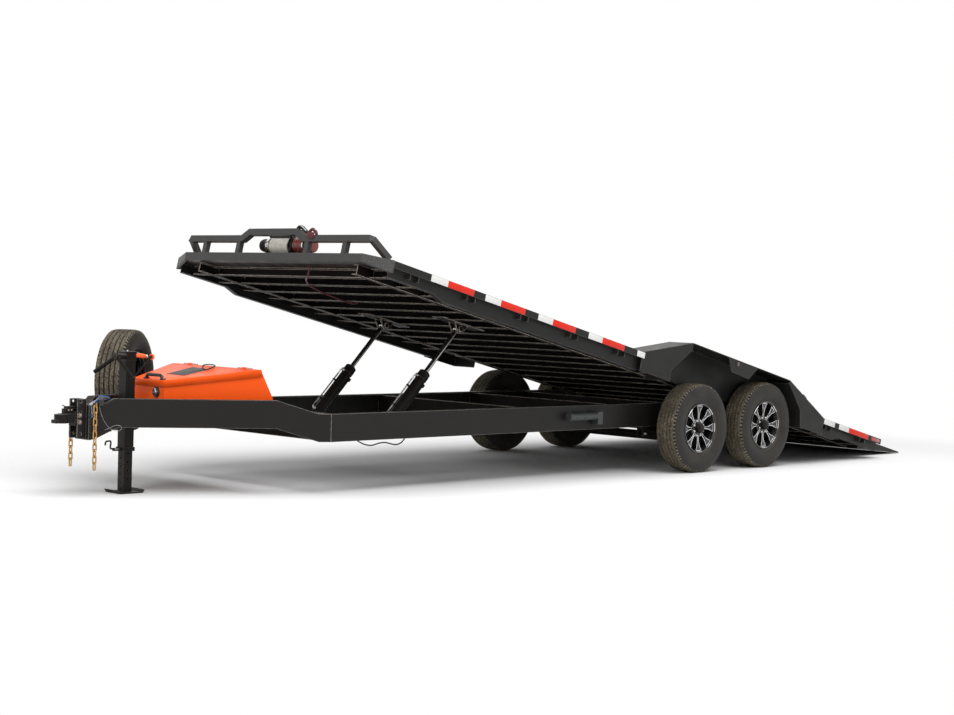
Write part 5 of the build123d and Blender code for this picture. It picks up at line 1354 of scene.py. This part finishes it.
# %% Drum flanges and rope
drum = Piece("winch_spool", "deck", "bare_steel", WINCH_AXIS)
for z0, z1, finish in ((-0.156, -0.149, bright_steel), (0.089, 0.096, jack_black)):
    drum.turned([(0.02, z0), (0.070, z0), (0.072, z0 + 0.002), (0.072, z1 - 0.002), (0.070, z1), (0.02, z1),
                 (0.02, z0)], finish, steps=72)
drum.turned([(0.047, -0.15), (0.047, 0.09)], bright_steel)
drum.done("winch_drum")

# %% [markdown]
# ### The rope
# Each layer of the winding is one bar swept along a helix, back and forth across the drum.
# A random sway, blended from wrap to wrap, keeps the rows from looking machine-made.

# %% Rope
ROPE_RADIUS = 0.0048
WRAP_STEPS = 30
LAYERS = ((-0.142, 0.082, 0.0518), (-0.142, 0.082, 0.0598), (-0.13, 0.075, 0.0655))     # from, to, radius
wraps = random.Random(3)


def winding(layer, start, end, radius):
    """The line of one layer of rope about local Z."""
    count = int((end - start) / (2.12 * ROPE_RADIUS))
    sway = [wraps.uniform(-0.35, 0.35) for _ in range(count + 2)]
    line = []
    for k in range(count * WRAP_STEPS + 1):
        wrap = k / WRAP_STEPS
        blend = wrap - int(wrap)
        wander = sway[int(wrap)] * (1 - blend) + sway[int(wrap) + 1] * blend
        angle = 2 * math.pi * wrap * (1 if layer % 2 else -1)
        z = start + (end - start) * wrap / count + wander * ROPE_RADIUS * (0.3 + 0.15 * layer)
        r = radius + 0.0006 * math.sin(3.1 * wrap + layer)
        line.append(Vector((r * math.cos(angle), r * math.sin(angle), z)))
    return line


rope = Piece("winch_rope", "deck", "bare_steel", WINCH_AXIS)
for layer, (start, end, radius) in enumerate(LAYERS):
    rope.take(swept(winding(layer, start, end, radius), ROPE_RADIUS, 8), rope_grey)
rope.done(smooth=60)

# %% [markdown]
# ## The toolbox
# The box between the tongue members is folded sheet steel with a lid that closes over its walls.
# A folded lid is one sheet: a top and three skirts that turn down over rounded bends. So it is made as an
# open shell, bevelled along its folds, and a modifier gives the sheet its thickness.

# %% Lid frame
lid_low, lid_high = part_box("toolbox_lid")
LID_FRONT_X, LID_REAR_X = lid_high.x, lid_low.x + 0.0265
LID_HALF_REAR, LID_HALF_FRONT = 0.5437, 0.1859
LID_FALL = 0.145                # metres down for each metre forward
SKIRT, SHEET = 0.05, 0.003
LID_TOP_AT_BOX_FRONT, BOX_FRONT_X = 0.813, lid_high.x - 0.014
lid_slope = math.atan(LID_FALL)
LID = moved(BOX_FRONT_X, 0, LID_TOP_AT_BOX_FRONT) @ Matrix.Rotation(lid_slope, 4, "Y")


def on_lid(x, y, up=0.0):
    """A place on the lid, from the frame's x and y, in the lid's own frame."""
    return Vector(((x - BOX_FRONT_X) / math.cos(lid_slope), y, up))


# %% Lid
shape = bmesh.new()
top_x, rear_x = on_lid(LID_FRONT_X, 0).x, on_lid(LID_REAR_X, 0).x
corners = [(rear_x, -LID_HALF_REAR), (top_x, -LID_HALF_FRONT), (top_x, LID_HALF_FRONT), (rear_x, LID_HALF_REAR)]
top = shape.faces.new([shape.verts.new((x, y, 0)) for x, y in corners])
pushed = bmesh.ops.extrude_face_region(shape, geom=[top])
bmesh.ops.translate(shape, verts=verts_in(pushed["geom"]), vec=(0, 0, -SKIRT))
bmesh.ops.recalc_face_normals(shape, faces=shape.faces)
unwanted = [f for f in shape.faces if f.normal.z < -0.9 or f.normal.x < -0.9]
bmesh.ops.delete(shape, geom=unwanted, context="FACES")
folds = [edge for edge in shape.edges if len(edge.link_faces) == 2]
soften(shape, folds, 0.006, segments=4)
lid = Piece("toolbox_lid_sheet", "toolbox_lid", "orange_paint", LID)
lid.take(shape, box_orange)
lid_object = lid.done("toolbox_lid")
if max(lid_object.data.polygons, key=lambda p: p.area).normal.z < 0:
    lid_object.data.flip_normals()
sheet = lid_object.modifiers.new("sheet", "SOLIDIFY")
sheet.thickness, sheet.offset = SHEET, -1.0

# %% [markdown]
# ### Handle, non-slip patch, loop and hinges
# The handle is moulded plastic with broad feet, the patch is coarse grit tape, and a thin black loop lies
# on the lid. Each hinge is a barrel with its pin through it.

# %% Lid fittings
fittings = Piece("toolbox_lid_fittings", "toolbox_lid", "black_plastic", LID)
feet = (-0.048, 0.152)
grip_x = on_lid(LID_FRONT_X - 0.022, 0).x
for y in feet:
    fittings.block((grip_x - 0.016, y - 0.020, -0.001), (grip_x + 0.016, y + 0.020, 0.010), black_plastic,
                   0.004)
    fittings.bolt((grip_x, y + (0.011 if y > 0 else -0.011), 0.010), (0, 0, 1), 0.009, bright_steel)
grip = [(grip_x, feet[0], 0.006), (grip_x, feet[0] + 0.018, 0.031), (grip_x, feet[1] - 0.018, 0.031),
        (grip_x, feet[1], 0.006)]
fittings.bent(grip, 0.0122, black_plastic, bend=0.03, steps=16)
patch = [(3.678, -0.080), (3.689, 0.154), (3.421, 0.087), (3.383, -0.159)]
outline = [tuple(on_lid(x, y).xy) for x, y in patch]
fittings.plate(outline, 0.0, 0.0016, lid_patch_grey, 0.0006)
loop = [(3.46, 0.098), (3.40, -0.02), (3.33, -0.11), (3.285, -0.138), (3.268, -0.06), (3.292, 0.0),
        (3.36, 0.055), (3.455, 0.108)]
fittings.bent([on_lid(x, y, 0.006) for x, y in loop], 0.0042, black_plastic, bend=0.035, steps=10)
hinge_x, hinge_z = rear_x - 0.0105, 0.0012 - 0.002
for y in (-0.33, 0.33):
    for reach, radius, finish in ((0.0245, 0.009, box_orange), (0.082, 0.0042, bright_steel)):
        fittings.rod((hinge_x, y - reach, hinge_z), (hinge_x, y + reach, hinge_z), radius, finish)
fittings.done()

# %% Latch
latch_place = along((BOX_FRONT_X, 0.088, 0.722), (BOX_FRONT_X + 1, 0.088, 0.722))
latch = Piece("toolbox_latch", "chassis", "black_plastic", latch_place)
ring = [(0.040, 0), (0.041, 0.002), (0.039, 0.007), (0.033, 0.009), (0.031, 0.004)]
latch.turned(ring, black_plastic, steps=48)
latch.block((-0.009, -0.030, 0.004), (0.009, 0.030, 0.014), bright_steel, 0.003)
latch.turned([(0.014, 0.004), (0.014, 0.012), (0.012, 0.014)], chrome)
latch.block((-0.0012, -0.006, 0.013), (0.0012, 0.006, 0.0146), black_plastic, 0.0004)
latch.done()

# %% [markdown]
# ## The jack
# A drop-leg jack: the crank sits on the front of its head, with an orange plastic grip that ends in a ring,
# and a snap pin holds the drop leg.

# %% Crank arms
hub, elbow = from_axles(5.722, 0.050, 0.980), from_axles(5.622, 0.116, 0.826)
end, grip_end = from_axles(5.492, 0.150, 0.978), from_axles(5.618, 0.150, 0.991)
crank = Piece("jack_crank_arms", "chassis", "black_paint")
crank.rod(from_axles(5.6423, 0.050, 0.980), from_axles(5.738, 0.050, 0.980), 0.019, jack_black)
crank.turned([(0.024, 0), (0.025, 0.002), (0.025, 0.012), (0.023, 0.014)], jack_black,
             along(hub, from_axles(5.8, 0.050, 0.980)))
arm = elbow - hub
crank.bent([hub, hub + arm * 0.3, hub + arm * 0.94], 0.0155, jack_black, bend=0.03)
joint_ball = [(0, -0.012), (0.012, -0.010), (0.0165, -0.003), (0.0165, 0.006), (0.012, 0.013), (0, 0.015)]
crank.turned(joint_ball, jack_black, along(elbow, elbow + (elbow - hub)), 28)
crank.bent([elbow, elbow + (end - elbow) * 0.5, end], 0.0066, jack_black, bend=0.03, steps=16)
crank.rod(hub, from_axles(5.806, -0.096, 0.862), 0.0145, jack_black)

# %% Crank grip
GRIP_RIBS = 5
axis = along(end, grip_end)
length = (grip_end - end).length
start = length * 0.44
crank.turned([(0.0065, -0.004), (0.0065, start + 0.003)], jack_black, axis, 20)
waist = [(0.0115, start), (0.0145, start + 0.005), (0.0135, start + 0.010)]
for number in range(GRIP_RIBS):
    z = start + 0.014 + number * (length - start - 0.024) / GRIP_RIBS
    waist += [(0.0165, z), (0.0165, z + 0.0065), (0.0152, z + 0.0085)]
waist += [(0.0155, length - 0.006), (0.0125, length - 0.001), (0, length)]
crank.turned(waist, grip_orange, axis, 36)
crank.turned([(0.0125, start - 0.016), (0.0135, start - 0.010), (0.0125, start - 0.004)], chrome, axis, 24)
ring_angles = [k * math.pi / 5 for k in range(10)]
ring_section = [(0.0165 + 0.0068 * math.cos(a), 0.0068 * math.sin(a)) for a in ring_angles]
crank.turned(ring_section + ring_section[:1], grip_orange, along(end, end + Vector((1.0, 0.35, 0.1))), 36)
crank.done("jack_crank")

# %% Jack fittings
jack_x = from_axles(5.594, 0, 0).x
jack = Piece("jack_fittings", "chassis", "black_paint")
jack.block((jack_x - 0.0495, -0.0455, 1.001), (jack_x + 0.0495, 0.0455, 1.0125), jack_black, 0.004)
jack.turned([(0.006, 0), (0.0065, 0.004), (0.004, 0.009)], bright_steel, moved(jack_x, 0, 1.0125), 16)
jack.rod((jack_x + 0.046, 0, 0.314), (jack_x + 0.095, 0, 0.314), 0.0085, bright_steel)
jack.turned([(0.0105, 0), (0.0105, 0.024), (0.009, 0.026)], bright_steel,
            along((jack_x + 0.0505, 0, 0.314), (jack_x + 1, 0, 0.314)))
jack.done()

# %% [markdown]
# ## Coupler and nose
# Two heavy bolts hold the coupler in its upright channel, with a head on each side, and two pins and a
# bolt stand for its latch. The joints on the nose have a bead of weld, which is a row of overlapping
# ripples. So a bead is a turned bar whose radius swells and shrinks.

# %% Coupler bolts
nose = Piece("nose_bolts", "chassis", "zinc_steel")
for z in (0.568, 0.521):
    for side in (1, -1):
        nose.bolt(from_axles(6.016, side * 0.0521, z), (0, side, 0), 0.026, dull_steel)
nose.bolt(from_axles(6.118, 0.0, 0.6315), (0, 0, 1), 0.016, dull_steel)
for x in (6.062, 6.086):
    nose.rod(from_axles(x, -0.024, 0.604), from_axles(x, 0.024, 0.604), 0.0065, dull_steel)
nose.done()


# %% Weld beads
def weld(piece, start, end, width=0.006):
    """A bead from one point to another: a bar whose rings swell and shrink like ripples."""
    start, end = Vector(start), Vector(end)
    length = (end - start).length
    count = max(4, int(length / 0.0045))
    profile = [(0, 0)]
    for k in range(count):
        z = length * (k + 0.5) / count
        swell = 0.92 + 0.12 * math.sin(2.3 * k) * math.cos(0.7 * k)
        profile += [(width * swell, z - length / count * 0.3), (width * 0.78, z + length / count * 0.45)]
    profile.append((0, length))
    piece.turned(profile, jack_black, along(start, end), 10)


TUBE_HALF, PLATE_TOP = 0.041, 0.641     # the jack's tube where it passes through the top plate
welds = Piece("nose_welds", "chassis", "black_paint")
face_x = from_axles(5.962, 0, 0).x
for side in (1, -1):
    weld(welds, (face_x, side * 0.052, 0.412), (face_x, side * 0.052, 0.634))
    weld(welds, (face_x - 0.012, side * 0.086, 0.40), (face_x - 0.012, side * 0.086, 0.636), 0.005)
for edge in (TUBE_HALF, -TUBE_HALF):
    weld(welds, (jack_x - TUBE_HALF, edge, PLATE_TOP), (jack_x + TUBE_HALF, edge, PLATE_TOP))
    weld(welds, (jack_x + edge, -TUBE_HALF, PLATE_TOP), (jack_x + edge, TUBE_HALF, PLATE_TOP))
welds.done()

# %% [markdown]
# ### Wires on the nose
# The lamp and brake wires lie in a loose bundle over the top plate and turn down at its edge. Each wire is
# one bent bar, and each is laid a little to the side of the last and a little higher.

# %% Wiring
GUSSET_TOP = 0.640
wiring = Piece("nose_wiring", "chassis", "black_plastic")
for number, finish in enumerate((wire_blue, wire_yellow, wire_white, wire_blue, wire_yellow, wire_blue)):
    y, up = 0.020 + number * 0.011, GUSSET_TOP + 0.014 + 0.006 * number
    line = [(5.72 + 0.01 * number, y - 0.05, GUSSET_TOP + 0.004), (5.78, y + 0.006, up + 0.008),
            (5.84, y + 0.01 - 0.012 * number, up + 0.016), (5.89, y + 0.02, up + 0.006),
            (5.935, y + 0.014, GUSSET_TOP + 0.004), (5.945, 0.0875, GUSSET_TOP - 0.006),
            (5.94, 0.0895, GUSSET_TOP - 0.05 - 0.008 * number)]
    wiring.bent([from_axles(*place) for place in line], 0.0042, finish, bend=0.03, steps=8)
tie = from_axles(5.80, 0.015, GUSSET_TOP), from_axles(5.812, 0.075, GUSSET_TOP + 0.019)
splice = from_axles(5.866, 0.018, GUSSET_TOP), from_axles(5.894, 0.052, GUSSET_TOP + 0.024)
wiring.block(*tie, black_plastic, 0.003)
wiring.block(*splice, wire_blue, 0.004)
wiring.done(smooth=50)

# %% [markdown]
# ## Axles, springs and hubs
# Bolts are what make running gear read as real: two U-bolts clamp each spring to its axle over a plate with
# four nuts, every hanger has its pivot bolts, and clips hold the leaves of each spring together.

# %% U-bolts, spring clips and hanger bolts
SPRING_Y = 0.880
spring_low, spring_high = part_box("leaf_springs")
gear = Piece("axle_bolts", "chassis", "bare_steel")
for end in ("front", "rear"):
    low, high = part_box(f"left_{end}_wheel")
    axle_x = (low.x + high.x) / 2
    beam_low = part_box(f"{end}_axle")[0].z
    for side in (1, -1):
        middle = side * SPRING_Y
        gear.block((axle_x - 0.062, middle - 0.048, beam_low - 0.009),
                   (axle_x + 0.062, middle + 0.048, beam_low - 0.0005), running_gear, 0.002)
        gear.block((axle_x - 0.058, middle - 0.040, spring_high.z + 0.0005),
                   (axle_x + 0.058, middle + 0.040, spring_high.z + 0.010), running_gear, 0.002)
        for dy in (-0.031, 0.031):
            y = middle + dy
            ends = [(axle_x - 0.045, y, beam_low - 0.028), (axle_x - 0.045, y, spring_high.z + 0.017),
                    (axle_x + 0.045, y, spring_high.z + 0.017), (axle_x + 0.045, y, beam_low - 0.028)]
            gear.bent(ends, 0.0065, running_gear, bend=0.016, steps=10)
            for dx in (-0.045, 0.045):
                gear.bolt((axle_x + dx, y, beam_low - 0.009), (0, 0, -1), 0.021, bright_steel)
        for clip_x in (axle_x - 0.19, axle_x + 0.19):
            gear.block((clip_x - 0.012, middle - 0.0255, spring_low.z + 0.006),
                       (clip_x + 0.012, middle + 0.0255, spring_high.z + 0.003), running_gear, 0.002)
end_x = (spring_high.x - spring_low.x) / 2
middle_x = (spring_high.x + spring_low.x) / 2
hanger_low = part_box("spring_hangers")[0].z
for x in (middle_x + end_x, middle_x - 0.035, middle_x + 0.035, middle_x - end_x):
    for side in (1, -1):
        for out in (1, -1):
            gear.bolt((x, side * SPRING_Y + out * 0.0326, hanger_low + 0.028), (0, out, 0), 0.024, bright_steel)
gear.done()

# %% [markdown]
# ### Equalisers
# A rocker in the middle hanger shares the load between the two springs of a side.

# %% Equalisers
ROCKER_THICK = 0.024
ROCKER = ((-0.078, 0.012), (-0.03, -0.016), (0.03, -0.016), (0.078, 0.012), (0.07, 0.028), (0.0, 0.034),
          (-0.07, 0.028))
rockers = Piece("spring_equalisers", "chassis", "bare_steel")
for side in (1, -1):
    at = moved(middle_x, side * SPRING_Y + ROCKER_THICK / 2, hanger_low + 0.03) @ turn("X", 90)
    rockers.plate(ROCKER, 0.0, ROCKER_THICK, running_gear, 0.003, at)
rockers.done()

# %% [markdown]
# ## Cylinders and pivot pins
# A hydraulic cylinder has a gland with a wiper where the chrome rod comes out, a port at each end, and an
# oil line clamped along the barrel from one port to the other. Every part lies along the barrel's axis,
# which the CAD model's joints give. Each pivot pin ends in a grease nipple.

# %% Cylinder fittings
# All heights are metres from the barrel's pin, up the barrel.
GLAND = [(0.0195, 0.536), (0.040, 0.536), (0.0475, 0.538), (0.0475, 0.566), (0.044, 0.5695), (0.030, 0.5705),
         (0.0195, 0.5705), (0.0195, 0.536)]
WIPER = [(0.0192, 0.569), (0.027, 0.569), (0.0265, 0.5745), (0.0205, 0.5765), (0.0192, 0.5765), (0.0192, 0.569)]
GLAND_BOLTS, GLAND_END = 0.035, 0.5700
PORTS, CLAMPS = (0.062, 0.50), (0.17, 0.38)
OIL_LINE = ((0, 0.060, 0.062), (0.016, 0.062, 0.075), (0.026, 0.052, 0.11), (0.026, 0.052, 0.455),
            (0.016, 0.062, 0.487), (0, 0.060, 0.50))


def cylinder_fittings(prefix):
    """Gland, ports, oil line and bolts along the barrel's own axis."""
    body = f"{prefix}_cylinder_barrel"
    swing, slide = (
        next(joint for joint in frame["joints"] if joint["name"] == f"{prefix}_{motion}")
        for motion in ("barrel_swing", "rod_slide")
    )
    base, direction = Vector(swing["pos_m"]), Vector(slide["axis"]).normalized()
    if direction.z < 0:
        direction = -direction
    made = Piece(f"{body}_fittings", body, "black_paint", along(base, base + direction))
    made.turned(GLAND, frame_black, steps=48)
    made.turned(WIPER, black_plastic, steps=36)
    for z in PORTS:
        sideways = moved(z=z) @ turn("X", -90)
        made.turned([(0.013, 0.042), (0.013, 0.052), (0.011, 0.054)], bright_steel, sideways, 20)
        made.turned([(0.009, 0.05), (0.009, 0.066)], bright_steel, sideways, 6)
    made.bent(OIL_LINE, 0.0062, bright_steel, bend=0.012, steps=8)
    for z in CLAMPS:
        made.block((0.012, 0.038, z), (0.034, 0.059, z + 0.012), jack_black, 0.002)
    for angle in (math.radians(degrees) for degrees in range(0, 360, 60)):
        spot = (GLAND_BOLTS * math.cos(angle), GLAND_BOLTS * math.sin(angle), GLAND_END)
        made.bolt(spot, (0, 0, 1), 0.010, bright_steel)
    made.done()


for prefix in ("left", "right"):
    cylinder_fittings(prefix)

# %% Pivot pins
NIPPLE = [(0.010, 0), (0.010, 0.003), (0.005, 0.005), (0.0045, 0.012), (0.0062, 0.014), (0.0045, 0.0175),
          (0, 0.018)]
pivots = Piece("pivot_caps", "chassis", "bare_steel")
for side in (1, -1):
    pin_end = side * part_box("pivot_pins")[1].y
    outward = along((hinge.x, pin_end, hinge.z), (hinge.x, pin_end + side, hinge.z))
    pivots.turned(NIPPLE, bright_steel, outward, 20)
pivots.done()

# %% [markdown]
# ## Fender lamps and the deck's rear
# Each fender carries a small round marker in its middle plate and a low one on its rear slope, both dark
# while they are not lit. The deck's rear end has a long lamp on each side, red with a clear end.
# A lens is a block or a dome that stands a little above its black base.

# %% Fender lamps
FENDER_SLOPE = math.atan2(0.228, 0.65)
fender_lamps = Piece("fender_lamps", "deck", "black_plastic", DECK)
for side in (1, -1):
    at = facing_side(3.317, side, 0.192)
    rim = [(0.024, 0), (0.0245, 0.003), (0.021, 0.0055), (0.0195, 0.0035)]
    fender_lamps.turned(rim, black_plastic, at)
    fender_lamps.turned([(0.0192, 0.003), (0.0185, 0.007), (0.012, 0.0098), (0, 0.0108)], lens_dark, at)
    top = moved(2.176, side * 1.2655, 0.1215) @ Matrix.Rotation(-FENDER_SLOPE, 4, "Y")
    fender_lamps.block((-0.045, -0.016, 0.0), (0.045, 0.016, 0.012), black_plastic, 0.004, top)
    fender_lamps.block((-0.036, -0.012, 0.008), (0.036, 0.012, 0.024), lens_dark, 0.006, top)
fender_lamps.done()

# %% Stop lamps on the tail
rear = Piece("rear_lamps", "deck", "black_plastic", DECK)
for side in (1, -1):
    at = moved(0.781, side * 1.155, -0.055) @ turn("Y", -90) @ turn("Z", 90)
    rear.block((-0.080, -0.027, 0.0), (0.080, 0.027, 0.010), black_plastic, 0.006, at)
    rear.block((-0.075, -0.022, 0.006), (0.022, 0.022, 0.021), lens_red, 0.007, at)
    rear.block((0.026, -0.022, 0.006), (0.075, 0.022, 0.020), lens_clear, 0.007, at)
rear.done()


# %% The sizes of the CAD model and of the finished trailer
bpy.context.view_layer.update()
boxes = {"cad": cad_box, "visual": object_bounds()}
{name: [list(low), list(high)] for name, (low, high) in boxes.items()}
